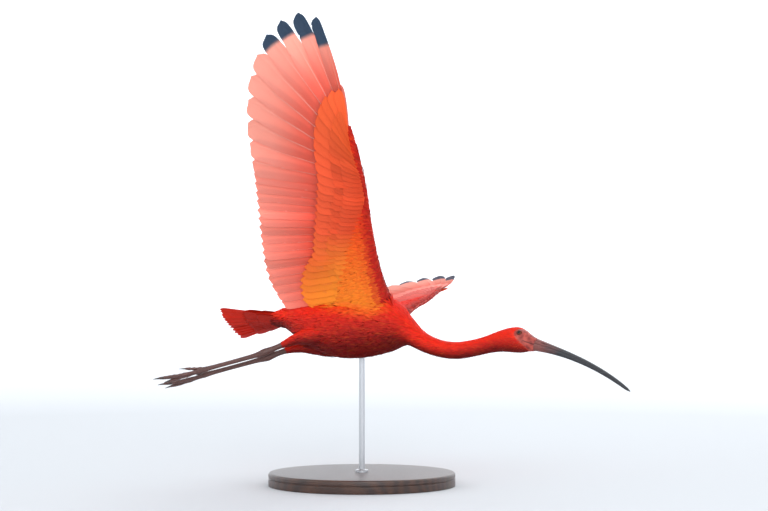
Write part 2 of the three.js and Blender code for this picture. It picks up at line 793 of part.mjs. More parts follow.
function standBase() {
  const profile = [
    new THREE.Vector2(0, 0),
    new THREE.Vector2(BASE_RADIUS - 1, 0),
    new THREE.Vector2(BASE_RADIUS, 1),
    new THREE.Vector2(BASE_RADIUS, BASE_HEIGHT - BASE_EDGE),
    new THREE.Vector2(BASE_RADIUS - 0.3 * BASE_EDGE, BASE_HEIGHT - 0.3 * BASE_EDGE),
    new THREE.Vector2(BASE_RADIUS - BASE_EDGE, BASE_HEIGHT),
    new THREE.Vector2(0, BASE_HEIGHT),
  ];
  const turned = new THREE.LatheGeometry(profile, BASE_SIDES).rotateX(90 * DEGREE);
  return solidOf(turned).subtract(solidOf(rod(GAP)));
}

// Materials and the scene graph

const finish = (color, roughness, metalness = 0) =>
  new THREE.MeshStandardMaterial({ color, roughness, metalness });
const MATERIALS = {
  plumage: finish(0xd32412, 0.85),
  flight: finish(0xf0563a, 0.8),
  bare: finish(0xb5574f, 0.55),
  horn: finish(0x2e2726, 0.4),
  eye: finish(0x120a08, 0.1),
  wood: finish(0x2b211c, 0.45),
  steel: finish(0x9a9a9c, 0.35, 1),
};

function mesh(name, shape, material) {
  const { vertProperties, triVerts } = shape.getMesh();
  const geometry = new THREE.BufferGeometry();
  geometry.setAttribute("position", new THREE.BufferAttribute(vertProperties, 3));
  geometry.setIndex(new THREE.BufferAttribute(triVerts, 1));
  geometry.computeVertexNormals();
  const made = new THREE.Mesh(geometry, MATERIALS[material]);
  made.name = name;
  return made;
}

const bird = new THREE.Group();
bird.position.setFromMatrixPosition(toPart);
bird.quaternion.setFromRotationMatrix(toPart);
bird.add(
  mesh("torso", torso, "plumage"),
  mesh("neck", neck, "plumage"),
  mesh("head", head, "plumage"),
  mesh("bill_upper", billUpper, "horn"),
  mesh("bill_lower", billLower, "horn"),
  mesh("tail", tail, "flight"),
);
[RIGHT, LEFT].forEach((side, i) => {
  const name = side === RIGHT ? "right" : "left";
  bird.add(
    mesh("eye_" + name, eyes[i], "eye"),
    mesh("wing_inner_" + name, wings[i].inner, "flight"),
    mesh("wing_outer_" + name, wings[i].outer, "flight"),
    mesh("shank_" + name, legs[i].shank, "plumage"),
    mesh("tarsus_" + name, legs[i].tarsus, "bare"),
    mesh("foot_" + name, foot(side), "bare"),
    ...TOES.map((toe, k) => mesh("claw_" + name + "_" + (k + 1), claw(side, toe), "horn")),
  );
});

const part = new THREE.Group();
part.add(
  bird,
  mesh("stand_base", standBase(), "wood"),
  mesh("stand_rod", solidOf(rod(0)), "steel"),
);

export default part;
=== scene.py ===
# A life-size scarlet ibis in banked flight, held by one rod on a round base.
# The scene is in metres. The bird's own frame is in millimetres: x runs forward, y to its left
# and z up, with zero at mid-body. The bird is rolled with its right wing up and stands on its rod.
import math
import bpy
import numpy as np
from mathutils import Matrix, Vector
from mathutils.bvhtree import BVHTree
from mathutils.kdtree import KDTree


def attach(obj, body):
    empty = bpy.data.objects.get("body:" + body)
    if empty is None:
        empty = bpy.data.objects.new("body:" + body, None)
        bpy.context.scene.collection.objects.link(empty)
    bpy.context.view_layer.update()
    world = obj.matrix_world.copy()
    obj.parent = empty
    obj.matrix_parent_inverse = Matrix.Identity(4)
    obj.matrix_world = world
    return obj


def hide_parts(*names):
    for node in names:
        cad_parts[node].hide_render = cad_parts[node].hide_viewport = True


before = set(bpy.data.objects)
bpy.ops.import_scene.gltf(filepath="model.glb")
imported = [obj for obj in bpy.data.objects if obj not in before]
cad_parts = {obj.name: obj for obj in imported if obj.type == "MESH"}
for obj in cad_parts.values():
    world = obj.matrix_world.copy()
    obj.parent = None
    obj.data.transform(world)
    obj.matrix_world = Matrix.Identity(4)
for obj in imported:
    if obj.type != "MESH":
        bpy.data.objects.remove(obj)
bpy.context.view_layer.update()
rng = np.random.default_rng(29)

# ---- Camera
# It looks at the bird from its right and a little ahead, level with it, through a long lens.
# The object fills the picture of 768 by 511.

CAMERA_AZIMUTH = math.radians(18.5)
CAMERA_LENS = 110
CAMERA_SENSOR = 36
PICTURE_ASPECT = 768 / 511
PICTURE_FILL = 0.9

camera_back = Vector((math.sin(CAMERA_AZIMUTH), -math.cos(CAMERA_AZIMUTH), 0))
camera_right = Vector((math.cos(CAMERA_AZIMUTH), math.sin(CAMERA_AZIMUTH), 0))
seen = [v.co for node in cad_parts.values() for v in node.data.vertices]
seen_across = [p.dot(camera_right) for p in seen]
seen_up = [p.z for p in seen]
camera_aim = camera_right * (min(seen_across) + max(seen_across)) / 2
camera_aim.z = (min(seen_up) + max(seen_up)) / 2
seen_width = max(
    max(seen_across) - min(seen_across), (max(seen_up) - min(seen_up)) * PICTURE_ASPECT
)
camera = bpy.data.objects.new("camera", bpy.data.cameras.new("camera"))
camera.data.lens = CAMERA_LENS
camera.data.sensor_width = CAMERA_SENSOR
camera.data.clip_end = 60
camera.location = camera_aim + camera_back * (
    seen_width / PICTURE_FILL * CAMERA_LENS / CAMERA_SENSOR
)
camera.rotation_mode = "QUATERNION"
camera.rotation_quaternion = (-camera_back).to_track_quat("-Z", "Y")
bpy.context.scene.collection.objects.link(camera)
bpy.context.scene.camera = camera

# ---- Round base
# A disc of dark stained hardwood, turned on a lathe with a rounded edge and a fine quirk below
# it, then waxed. The rod is pressed into a hole at its centre.


def linear(colour):
    """The linear values of an sRGB hex colour such as "#A01810"."""
    parts = [int(colour[i : i + 2], 16) / 255 for i in (1, 3, 5)]
    return [c / 12.92 if c <= 0.04045 else ((c + 0.055) / 1.055) ** 2.4 for c in parts] + [1]


def add(tree, kind, inputs=None, **settings):
    """A node with its settings, and with values or other nodes' sockets on its inputs."""
    made = tree.nodes.new(kind)
    for name, value in settings.items():
        setattr(made, name, value)
    for name, value in (inputs or {}).items():
        if isinstance(value, bpy.types.NodeSocket):
            tree.links.new(value, made.inputs[name])
        else:
            made.inputs[name].default_value = value
    return made


def finish(name):
    """A new material and its bare node tree, with only the output left in it."""
    material = bpy.data.materials.new(name)
    material.use_nodes = True
    tree = material.node_tree
    tree.nodes.clear()
    return material, tree, add(tree, "ShaderNodeOutputMaterial")


def piece(name, points, faces, material, uv=None, maps=None, sharp=None):
    """A mesh object in metres. faces is a list of arrays of corner numbers, by face size."""
    mesh = bpy.data.meshes.new(name)
    sizes = np.concatenate([np.full(len(part), part.shape[1]) for part in faces])
    corners = np.concatenate([part.ravel() for part in faces])
    mesh.vertices.add(len(points))
    mesh.vertices.foreach_set("co", np.ascontiguousarray(points, np.float32).ravel())
    mesh.loops.add(len(corners))
    mesh.loops.foreach_set("vertex_index", corners.astype(np.int32))
    mesh.polygons.add(len(sizes))
    starts = np.concatenate([[0], np.cumsum(sizes)[:-1]])
    mesh.polygons.foreach_set("loop_start", starts.astype(np.int32))
    mesh.polygons.foreach_set("use_smooth", np.ones(len(sizes), bool))
    mesh.update(calc_edges=True)
    for uv_name, values in (uv or {}).items():
        layer = mesh.uv_layers.new(name=uv_name)
        layer.data.foreach_set("uv", values[corners].astype(np.float32).ravel())
    for map_name, values in (maps or {}).items():
        layer = mesh.attributes.new(map_name, "FLOAT", "POINT")
        layer.data.foreach_set("value", values.astype(np.float32))
    if sharp is not None:
        mesh.set_sharp_from_angle(angle=math.radians(sharp))
    mesh.materials.append(material)
    made = bpy.data.objects.new(name, mesh)
    bpy.context.scene.collection.objects.link(made)
    return made


def full_turn(count):
    """Angles at even steps once round."""
    return np.arange(count) / count * 2 * np.pi


def grid_faces(rows, columns):
    """Quads over rings of points, joined round from the last column to the first."""
    across = np.arange(columns)
    a = np.arange(rows - 1)[:, None] * columns + across
    b = np.arange(rows - 1)[:, None] * columns + (across + 1) % columns
    return np.stack([a, b, b + columns, a + columns], -1).reshape(-1, 4)


def turned(profile, sides):
    """Points and faces of a body of revolution about z, closed where the profile meets it."""
    angle = full_turn(sides)
    radius, height = np.array(profile, float).T
    points = np.stack(
        [
            radius[:, None] * np.cos(angle),
            radius[:, None] * np.sin(angle),
            np.repeat(height[:, None], sides, 1),
        ],
        -1,
    ).reshape(-1, 3)
    ends = [[0, 0, height[0]], [0, 0, height[-1]]]
    low, high = len(points), len(points) + 1
    last = low - sides
    turn = np.arange(sides)
    caps = [
        np.stack([np.full(sides, low), (turn + 1) % sides, turn], -1),
        np.stack([np.full(sides, high), last + turn, last + (turn + 1) % sides], -1),
    ]
    return np.concatenate([points, ends]), [grid_faces(len(profile), sides), *caps]


BASE_RADIUS = 0.125
BASE_HEIGHT = 0.018
BASE_ROUNDING = 0.003
BASE_SIDES = 192
# The quirk is a shallow groove round the edge, given by the heights of its four corners.
QUIRK_HEIGHTS = [0.0098, 0.0104, 0.011, 0.0116]
QUIRK_DEPTHS = [0, 0.0009, 0.0009, 0]

wood, tree, output = finish("stained waxed walnut")
# Growth rings cut flat show as long bands about 12 mm apart, with pores drawn 0.4 mm wide and
# 8 mm long, and the wax gives an even satin shine.
place = add(tree, "ShaderNodeTexCoord").outputs["Object"]
stretched = add(tree, "ShaderNodeMapping", {"Vector": place, "Scale": (6, 60, 60)})
figure = add(
    tree,
    "ShaderNodeTexWave",
    {
        "Vector": stretched.outputs[0],
        "Scale": 0.45,
        "Distortion": 9,
        "Detail": 4,
        "Detail Scale": 0.8,
    },
    bands_direction="Y",
)
fine = add(tree, "ShaderNodeMapping", {"Vector": place, "Scale": (120, 2400, 2400)})
pores = add(tree, "ShaderNodeTexNoise", {"Vector": fine.outputs[0], "Scale": 1, "Detail": 2})
pore_mask = add(
    tree,
    "ShaderNodeMapRange",
    {"Value": pores.outputs[0], "From Min": 0.52, "From Max": 0.68},
)
banded = add(
    tree,
    "ShaderNodeMix",
    {0: figure.outputs["Fac"], 6: linear("#33201A"), 7: linear("#4A2E20")},
    data_type="RGBA",
)
pored = add(
    tree,
    "ShaderNodeMix",
    {0: pore_mask.outputs[0], 6: banded.outputs[2], 7: linear("#20130D")},
    data_type="RGBA",
)
pitted = add(
    tree,
    "ShaderNodeBump",
    {"Strength": 0.25, "Distance": 0.0002, "Height": pore_mask.outputs[0]},
    invert=True,
)
shader = add(
    tree,
    "ShaderNodeBsdfPrincipled",
    {
        "Base Color": pored.outputs[2],
        "Roughness": 0.42,
        "Normal": pitted.outputs[0],
        "Coat Weight": 0.25,
        "Coat Roughness": 0.3,
    },
)
tree.links.new(shader.outputs[0], output.inputs[0])

corner = [
    (
        BASE_RADIUS - BASE_ROUNDING * (1 - math.cos(angle)),
        BASE_HEIGHT - BASE_ROUNDING * (1 - math.sin(angle)),
    )
    for angle in np.linspace(0, math.pi / 2, 8)
]
quirk = [
    (BASE_RADIUS - depth, height) for depth, height in zip(QUIRK_DEPTHS, QUIRK_HEIGHTS)
]
base_profile = [
    (BASE_RADIUS - 0.004, 0),
    (BASE_RADIUS - 0.001, 0),
    (BASE_RADIUS - 0.0002, 0.0003),
    (BASE_RADIUS, 0.001),
    *quirk,
    *corner,
    (BASE_RADIUS - 0.02, BASE_HEIGHT),
    (0.006, BASE_HEIGHT),
]
base = piece("round_base", *turned(base_profile, BASE_SIDES), wood, sharp=35)
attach(base, "root")
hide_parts("stand_base")

# ---- Rod
# One straight length of 8 mm stainless steel bar, brushed along its length, that ends out of
# sight in the body. A thin turned collar covers the joint with the wood.

ROD_RADIUS = 0.004
ROD_BOTTOM = 0.006
ROD_TOP = 0.204
COLLAR_RADIUS = 0.0085
COLLAR_HEIGHT = 0.0035
COLLAR_CHAMFER = 0.0008
COLLAR_JOINT = 0.0004
ROD_SIDES = 64

steel, tree, output = finish("brushed stainless steel")
# Fine scratches run up the bar, drawn about 0.3 mm apart, and spread its highlight sideways.
place = add(tree, "ShaderNodeTexCoord").outputs["Object"]
stretched = add(tree, "ShaderNodeMapping", {"Vector": place, "Scale": (3300, 3300, 40)})
scratch = add(tree, "ShaderNodeTexNoise", {"Vector": stretched.outputs[0], "Scale": 1, "Detail": 3})
rough = add(
    tree,
    "ShaderNodeMapRange",
    {
        "Value": scratch.outputs[0],
        "From Min": 0.3,
        "From Max": 0.7,
        "To Min": 0.24,
        "To Max": 0.42,
    },
)
scored = add(
    tree,
    "ShaderNodeBump",
    {"Strength": 0.12, "Distance": 0.0001, "Height": scratch.outputs[0]},
)
shader = add(
    tree,
    "ShaderNodeBsdfPrincipled",
    {
        "Base Color": linear("#C2C3C6"),
        "Metallic": 1,
        "Roughness": rough.outputs[0],
        "Normal": scored.outputs[0],
    },
)
tree.links.new(shader.outputs[0], output.inputs[0])

rod_profile = [
    (ROD_RADIUS, ROD_BOTTOM),
    (ROD_RADIUS, BASE_HEIGHT),
    (COLLAR_RADIUS, BASE_HEIGHT),
    (COLLAR_RADIUS, BASE_HEIGHT + COLLAR_HEIGHT - COLLAR_CHAMFER),
    (COLLAR_RADIUS - COLLAR_CHAMFER, BASE_HEIGHT + COLLAR_HEIGHT),
    (ROD_RADIUS + COLLAR_JOINT, BASE_HEIGHT + COLLAR_HEIGHT),
    (ROD_RADIUS, BASE_HEIGHT + COLLAR_HEIGHT + COLLAR_JOINT),
    (ROD_RADIUS, ROD_TOP),
]
rod = piece("rod", *turned(rod_profile, ROD_SIDES), steel, sharp=35)
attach(rod, "root")
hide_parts("stand_rod")

# ---- Skin
# One closed skin over body, neck, head, arms, thighs and tail root. It lies under the plumage
# by the depth of the coat and shows only where the face is bare. Cast resin on a real model,
# painted to match.

ROLL = math.radians(29)
BODY_AT = np.array([62, -8, 218])


def to_scene(points):
    """Points of the bird's own frame, in millimetres, as metres in the scene."""
    x, y, z = np.moveaxis(np.asarray(points, float), -1, 0)
    turned_y = y * math.cos(ROLL) + z * math.sin(ROLL)
    turned_z = z * math.cos(ROLL) - y * math.sin(ROLL)
    return (np.stack([x, turned_y, turned_z], -1) + BODY_AT) / 1000


def smooth(rows):
    """Smooth values between the rows of a table, whose first column is the place."""
    table = np.array(rows, float)
    x, y = table[:, 0], table[:, 1:]
    before = np.maximum(np.arange(len(x)) - 1, 0)
    after = np.minimum(np.arange(len(x)) + 1, len(x) - 1)
    slope = (y[after] - y[before]) / (x[after] - x[before])[:, None]

    def at(place):
        place = np.asarray(place, float)
        i = np.clip(np.searchsorted(x, place, side="right") - 1, 0, len(x) - 2)
        span = (x[i + 1] - x[i])[..., None]
        t = np.clip((place - x[i])[..., None] / span, 0, 1)
        return (
            y[i] * (1 - t) ** 2 * (1 + 2 * t)
            + y[i + 1] * t**2 * (3 - 2 * t)
            + span * (slope[i] * t * (1 - t) ** 2 - slope[i + 1] * t**2 * (1 - t))
        )

    return at


def unit(vectors):
    """The same directions at a length of one."""
    return vectors / np.maximum(np.linalg.norm(vectors, axis=-1, keepdims=True), 1e-9)


def mix(a, b, t):
    """The value that lies the share t of the way from a to b."""
    return a + (b - a) * t


# Place along x, height of the middle, tilt in degrees, half width and half height.
SKIN = [
    [-176, 7, 0, 13, 8],
    [-162, 4, 0, 20, 15.5],
    [-142, 0, 0, 28, 26.5],
    [-115, -4.5, 0, 35.5, 36.5],
    [-85, -6.5, 0, 40, 42.5],
    [-55, -5, 0, 41.5, 43],
    [-30, -3, 0, 39.5, 39.5],
    [-14, -3, 0, 35.5, 34.5],
    [-3, -5, -2, 29.5, 27.5],
    [5, -10, -8, 23.5, 21],
    [12, -14.5, -16, 18.5, 16.8],
    [20, -20.5, -24, 15, 14],
    [31, -27.5, -25, 13, 12.6],
    [43, -33, -20, 12, 11.9],
    [60, -38, -10, 11.4, 11.4],
    [80, -39.5, 3, 11.3, 11.4],
    [100, -36, 13, 11.2, 11.3],
    [116, -31.5, 15, 11.6, 11.6],
    [128, -27.5, 8, 12.8, 13],
    [138, -24.5, -4, 14.3, 15],
    [148, -22.8, -9, 15.4, 16.8],
    [158, -23, -11, 15.6, 17.2],
    [167, -25, -12, 13.9, 15.2],
    [174, -27.2, -13, 11.2, 12.2],
    [180, -29, -14, 9, 9.9],
    [184, -30, -14, 7.9, 8.9],
]
# How far the skin lies under the outline of the plumage, along x.
COAT_DEPTH = [[-176, 2.4], [-140, 3.6], [-60, 4], [-10, 3.4], [12, 2.4], [40, 1.9], [110, 1.7],
              [140, 1.3], [158, 0.7], [170, 0.15], [184, 0.05]]
skin_at = smooth(SKIN)
depth_at = smooth(COAT_DEPTH)

# The bill's root, the eye and the corner of the mouth, all on the bird's left.
EYE = np.array([163.5, 10.3, -19.5])
GAPE_FROM, GAPE_FADE = 169, 1.2
GAPE_X, GAPE_Z, GAPE_TILT = 180, -32.2, math.radians(-12)
GAPE_HALF_WIDTH = 0.55


def body_ring(x, angle, deeper=0):
    """Points of the skin at each x, round by angle from the bird's left over its back."""
    z, tilt, half, high = np.moveaxis(skin_at(x), -1, 0)[..., None]
    depth = depth_at(x) + deeper * np.clip((140 - x) / 20, 0, 1)[:, None]
    tilt = np.radians(tilt)
    rise = (high - depth) * np.sin(angle)
    return np.stack(
        [
            x[:, None] - np.sin(tilt) * rise,
            (half - depth) * np.cos(angle) + 0 * x[:, None],
            z + np.cos(tilt) * rise,
        ],
        -1,
    )


def mouth_line(x, z):
    """How near a place lies to the line of the mouth, from 0 to 1."""
    line = GAPE_Z + (x - GAPE_X) * math.tan(GAPE_TILT)
    starts = 1 + np.exp(-(x - GAPE_FROM) * GAPE_FADE)
    return np.exp(-(((z - line) / GAPE_HALF_WIDTH) ** 2)) / starts


# Depth, distance from the eye and spread of the hollow round it, then of the rim outside.
HOLLOW_DEPTH, HOLLOW_AT, HOLLOW_SPREAD = 0.9, 2, 5.5
RIM_HEIGHT, RIM_AT, RIM_SPREAD = 0.45, 9.5, 2.6
# The lores are a shallow dip before the eye.
LORE_DEPTH, LORE_X, LORE_Z, LORE_LONG, LORE_HIGH = 0.8, 174, -25, 4.5, 3
# Wrinkles run round the eye near it and along the cheek farther off.
WRINKLED_FROM, WRINKLED_OVER = 158, 6
FOLD_PITCH, FOLD_DEPTH, FOLDS_REACH = 2.3, 0.1, 9
PLEAT_PITCH, PLEAT_DEPTH = 1.9, 0.09
MOUTH_DEPTH = 0.9


def face_form(points):
    """The face's own forms: hollows round the eyes, wrinkled skin and the line of the mouth."""
    x, y, z = np.moveaxis(points, -1, 0)
    side = np.sign(y)
    apart = np.hypot(x - EYE[0], z - EYE[2])
    round_eye = np.arctan2(z - EYE[2], x - EYE[0])
    rim = RIM_HEIGHT * np.exp(-(((apart - RIM_AT) / RIM_SPREAD) ** 2))
    hollow = HOLLOW_DEPTH * np.exp(-(((apart - HOLLOW_AT) / HOLLOW_SPREAD) ** 2)) - rim
    lore = LORE_DEPTH * np.exp(-(((x - LORE_X) / LORE_LONG) ** 2) - ((z - LORE_Z) / LORE_HIGH) ** 2)
    wrinkled = np.clip((x - WRINKLED_FROM) / WRINKLED_OVER, 0, 1)
    folds = np.sin(apart * 2 * np.pi / FOLD_PITCH + 0.7 * np.sin(3 * round_eye))
    pleats = np.sin((z + 0.25 * x + 0.5 * np.sin(x * 0.9)) * 2 * np.pi / PLEAT_PITCH)
    near_eye = np.exp(-((apart / FOLDS_REACH) ** 2))
    wrinkles = FOLD_DEPTH * folds * near_eye + PLEAT_DEPTH * pleats * (1 - near_eye)
    inward = hollow + lore + MOUTH_DEPTH * mouth_line(x, z) + wrinkles * wrinkled
    return np.stack([x, y - side * inward * np.clip(np.abs(y) / 4, 0, 1), z], -1)


def closed_tube(rings):
    """Points and faces of a closed skin over rings of points, with a point in each end."""
    rows, columns, _ = rings.shape
    ends = np.stack([rings[0].mean(0), rings[-1].mean(0)])
    turn = np.arange(columns)
    last = (rows - 1) * columns
    first_end, last_end = rows * columns, rows * columns + 1
    caps = np.concatenate(
        [
            np.stack([np.full(columns, first_end), (turn + 1) % columns, turn], -1),
            np.stack([np.full(columns, last_end), last + turn, last + (turn + 1) % columns], -1),
        ]
    )
    return np.concatenate([rings.reshape(-1, 3), ends]), [grid_faces(rows, columns), caps]


def faced_out(points, faces):
    """The same faces, all turned about if they enclose the solid from inside."""
    fans = [part[:, [0, i, i + 1]] for part in faces for i in range(1, part.shape[1] - 1)]
    triangles = np.concatenate(fans)
    a, b, c = (points[triangles[:, k]] for k in range(3))
    volume = np.einsum("ij,ij->i", a, np.cross(b, c)).sum()
    return faces if volume > 0 else [part[:, ::-1] for part in faces]


def united(solids):
    """Several closed solids as one mesh without inner faces."""
    objects = [
        piece("to_join", points, faced_out(points, faces), steel) for points, faces in solids
    ]
    first = objects[0]
    for other in objects[1:]:
        cut = first.modifiers.new("join", "BOOLEAN")
        cut.operation, cut.solver, cut.object = "UNION", "MANIFOLD", other
    graph = bpy.context.evaluated_depsgraph_get()
    mesh = bpy.data.meshes.new_from_object(first.evaluated_get(graph))
    for made in objects:
        bpy.data.objects.remove(made)
    return mesh


WING_ROOT = np.array([-26, 28, 14])
WING_LENGTH = 408
RAISE_ROOT, RAISE_TIP = math.radians(41), math.radians(32)
PITCH_ROOT, PITCH_TIP = math.radians(-2), math.radians(-3)
FEATHER_CAMBER, CAMBER_FROM = 1500, -20
TIP_SWEEP_UP, UPSWEEP_FROM = 1400, 230
RIGHT, LEFT = -1, 1


def wing_point(side, u, v, w):
    """A place out along the span, forward along the chord and above the wing's mean surface."""
    bend = (RAISE_TIP - RAISE_ROOT) / WING_LENGTH
    lifted = RAISE_ROOT + bend * u
    pitch = mix(PITCH_ROOT, PITCH_TIP, u / WING_LENGTH)
    out = (np.sin(lifted) - math.sin(RAISE_ROOT)) / bend
    up = (math.cos(RAISE_ROOT) - np.cos(lifted)) / bend
    beyond = np.maximum(0, u - UPSWEEP_FROM)
    behind = np.maximum(0, CAMBER_FROM - v)
    height = w + beyond**2 / (2 * TIP_SWEEP_UP) - behind**2 / (2 * FEATHER_CAMBER)
    forward = v * np.cos(pitch) + height * np.sin(pitch)
    lift = height * np.cos(pitch) - v * np.sin(pitch)
    return np.stack(
        [
            WING_ROOT[0] + forward,
            side * (WING_ROOT[1] + out - lift * np.sin(lifted)),
            WING_ROOT[2] + up + lift * np.cos(lifted),
        ],
        -1,
    )


# Span, leading edge, back of the flesh, thickness.
ARM = [
    [-6, 16, -66, 46],
    [12, 14, -66, 40],
    [34, 9, -64, 30],
    [60, 5, -60, 22],
    [90, 3, -56, 17],
    [120, 2, -45, 14],
    [150, 2, -33, 12],
    [174, 1, -27, 11],
    [200, -1, -28, 9],
    [228, -4, -29, 7],
    [254, -8, -26, 4],
]
ARM_DEPTH = 0.8
arm_at = smooth(ARM)


def arm_ring(side, u, angle, deeper=0):
    """Points of the arm's skin at each place out along the span, round by angle."""
    front, back, thick = np.moveaxis(arm_at(u), -1, 0)[..., None]
    depth = ARM_DEPTH + deeper
    v = mix(back + depth, front - depth, 0.5 + 0.5 * np.cos(angle))
    fullness = 0.66 + 0.34 * np.cos(angle - 0.3)
    w = (thick / 2 - np.minimum(depth, 0.3 * thick / 2)) * np.sin(angle) * fullness
    return wing_point(side, u[:, None] + 0 * v, v, w)


TAIL_ROOT = np.array([-160, 0, 6])
TAIL_TILT = math.radians(6)


def tail_point(back, across, w):
    """A place behind the tail's root, across it and above its mean surface."""
    cos, sin = math.cos(TAIL_TILT), math.sin(TAIL_TILT)
    return np.stack(
        [
            TAIL_ROOT[0] - back * cos - w * sin,
            across + 0 * back,
            TAIL_ROOT[2] - back * sin + w * cos,
        ],
        -1,
    )


# Distance behind the root, half width, half thickness.
RUMP = [[4, 20, 12], [18, 17, 7.5], [30, 15, 4.5], [42, 14, 2.4]]
RUMP_DEPTH = 1.5

# x, distance from the middle, z and radius down the leg.
LEG = [
    [-70, 20, -20, 9],
    [-88, 19, -24.5, 13],
    [-106, 17.5, -27, 14.2],
    [-124, 15, -28.5, 12.5],
    [-140, 12.2, -31, 9.3],
    [-152, 10, -34.5, 6.3],
    [-160, 8.6, -37.8, 4.4],
    [-172, 7.6, -43, 3.8],
    [-181, 7.2, -47.2, 4.6],
    [-187, 7, -50, 5.2],
    [-194, 6.9, -52.8, 4.2],
    [-203, 6.8, -55.8, 3.3],
    [-230, 6.7, -64.4, 3],
    [-256, 6.7, -72.6, 3.1],
    [-270, 6.8, -77, 3.8],
    [-277, 6.9, -79.2, 4.6],
]
leg_at = smooth([[i, *row] for i, row in enumerate(LEG)])
THIGH_ROWS = 6.4
THIGH_DEPTH, THIGH_INSET = 2, 0.3
THIGH_RINGS, THIGH_SIDES = 34, 32


def tube_rings(line, radius):
    """Rings of points across a line of points. radius is given by station and by side."""
    along = unit(np.gradient(line, axis=0))
    across = unit(np.cross([0, 1, 0], along))
    over = np.cross(along, across)
    angle = full_turn(radius.shape[1])
    return (
        line[:, None]
        + across[:, None] * (radius * np.cos(angle))[..., None]
        + over[:, None] * (radius * np.sin(angle))[..., None]
    )


# The rings lie closer together on the head and closest on the face.
body_x = np.concatenate(
    [np.arange(-176, 120, 3), np.arange(120, 152, 1.4), np.arange(152, 184.1, 0.42)]
)
round_body = full_turn(152)
round_arm = full_turn(40)
arm_u = np.arange(-6, 252, 4.0)
rump_back = np.arange(4, 40, 3.0)
rump_half, rump_thick = np.moveaxis(smooth(RUMP)(rump_back), -1, 0)[..., None] - RUMP_DEPTH
thigh_row = np.linspace(0, THIGH_ROWS, THIGH_RINGS)


def thigh_rings(side, deeper=0):
    """Rings of the thigh's skin, from inside the body to where the leg is bare."""
    x, y, z, radius = np.moveaxis(leg_at(thigh_row), -1, 0)
    feathered = np.clip((x + 158) / 16, 0, 1)
    inner = radius - (THIGH_DEPTH + deeper) * feathered - THIGH_INSET
    return tube_rings(np.stack([x, side * y, z], -1), inner[:, None] + np.zeros(THIGH_SIDES))


def whole_skin(deeper):
    """The skin as one mesh, sunk by some millimetres wherever it carries feathers."""
    rump = tail_point(
        rump_back[:, None] + 0 * round_arm,
        (rump_half - deeper / 2) * np.cos(round_arm),
        (rump_thick - deeper / 2) * np.sin(round_arm),
    )
    return united(
        [
            closed_tube(face_form(body_ring(body_x, round_body, deeper))),
            *[closed_tube(arm_ring(side, arm_u, round_arm, deeper)) for side in (RIGHT, LEFT)],
            *[closed_tube(thigh_rings(side, deeper)) for side in (RIGHT, LEFT)],
            closed_tube(rump),
        ]
    )


def points_of(mesh):
    """A mesh's points as rows of numbers."""
    points = np.zeros(len(mesh.vertices) * 3, np.float32)
    mesh.vertices.foreach_get("co", points)
    return points.reshape(-1, 3).astype(float)


def joined_piece(name, mesh, material, maps=None, sharp=None):
    """An object from a united mesh in the bird's own frame, moved to its place in the scene."""
    placed = to_scene(points_of(mesh))
    mesh.vertices.foreach_set("co", placed.astype(np.float32).ravel())
    mesh.name = name
    for map_name, values in (maps or {}).items():
        layer = mesh.attributes.new(map_name, "FLOAT", "POINT")
        layer.data.foreach_set("value", values.astype(np.float32))
    mesh.polygons.foreach_set("use_smooth", np.ones(len(mesh.polygons), bool))
    if sharp is not None:
        mesh.set_sharp_from_angle(angle=math.radians(sharp))
    mesh.materials.clear()
    mesh.materials.append(material)
    made = bpy.data.objects.new(name, mesh)
    bpy.context.scene.collection.objects.link(made)
    return made


# The skin that shows is sunk a little more than the one the feathers are rooted in.
SHOWN_DEEPER = 0.9
skin_mesh = whole_skin(SHOWN_DEEPER)
skin_x, _, skin_z = points_of(skin_mesh).T
# The feathers' edge on the face is a bow behind the eye, bent more above it than below.
FACE_EDGE_X, FACE_EDGE_SHARPNESS = 157.5, 1.6
FACE_BEND_ABOVE, FACE_BEND_BELOW = 0.125, 0.05


def bare_face(x, z):
    """How bare the face is at a place, from 0 under feathers to 1 round the eye and lores."""
    above = z - EYE[2]
    edge = FACE_EDGE_X + np.where(above > 0, FACE_BEND_ABOVE, FACE_BEND_BELOW) * above**2
    return 1 / (1 + np.exp(-(x - edge) * FACE_EDGE_SHARPNESS))


bare_skin, tree, output = finish("bare face skin")
# Bare skin of the face, dull red with a fine pebble about 0.7 mm across and wrinkles between,
# slightly moist, with painted shade along the line of the mouth and at the lids' rims. Under the
# feathers it is plain red.
place = add(tree, "ShaderNodeTexCoord").outputs["Object"]
pebble = add(
    tree, "ShaderNodeTexVoronoi", {"Vector": place, "Scale": 1400}, feature="SMOOTH_F1"
)
wrinkle = add(
    tree, "ShaderNodeTexNoise", {"Vector": place, "Scale": 420, "Detail": 4, "Distortion": 1.5}
)
blotch = add(tree, "ShaderNodeTexNoise", {"Vector": place, "Scale": 170, "Detail": 4})
blotched = add(
    tree, "ShaderNodeMapRange", {"Value": blotch.outputs[0], "From Min": 0.35, "From Max": 0.65}
)
down = add(
    tree,
    "ShaderNodeMix",
    {0: blotched.outputs[0], 6: linear("#B82410"), 7: linear("#D63A1A")},
    data_type="RGBA",
)
pink = add(
    tree,
    "ShaderNodeMix",
    {0: blotched.outputs[0], 6: linear("#7E2018"), 7: linear("#B4483A")},
    data_type="RGBA",
)
bareness = add(tree, "ShaderNodeAttribute", attribute_name="bare")
worn = add(
    tree,
    "ShaderNodeMix",
    {0: bareness.outputs["Fac"], 6: down.outputs[2], 7: pink.outputs[2]},
    data_type="RGBA",
)
# Painted shade, near black, along the mouth's line and at the rims of the lids.
crease_shade_fac = add(tree, "ShaderNodeAttribute", attribute_name="crease_shade")
skin_colour = add(
    tree,
    "ShaderNodeMix",
    {0: crease_shade_fac.outputs["Fac"], 6: worn.outputs[2], 7: linear("#3A0E0A")},
    data_type="RGBA",
)
relief = add(
    tree,
    "ShaderNodeMath",
    {0: wrinkle.outputs[0], 1: 1.6, 2: pebble.outputs[0]},
    operation="MULTIPLY_ADD",
)
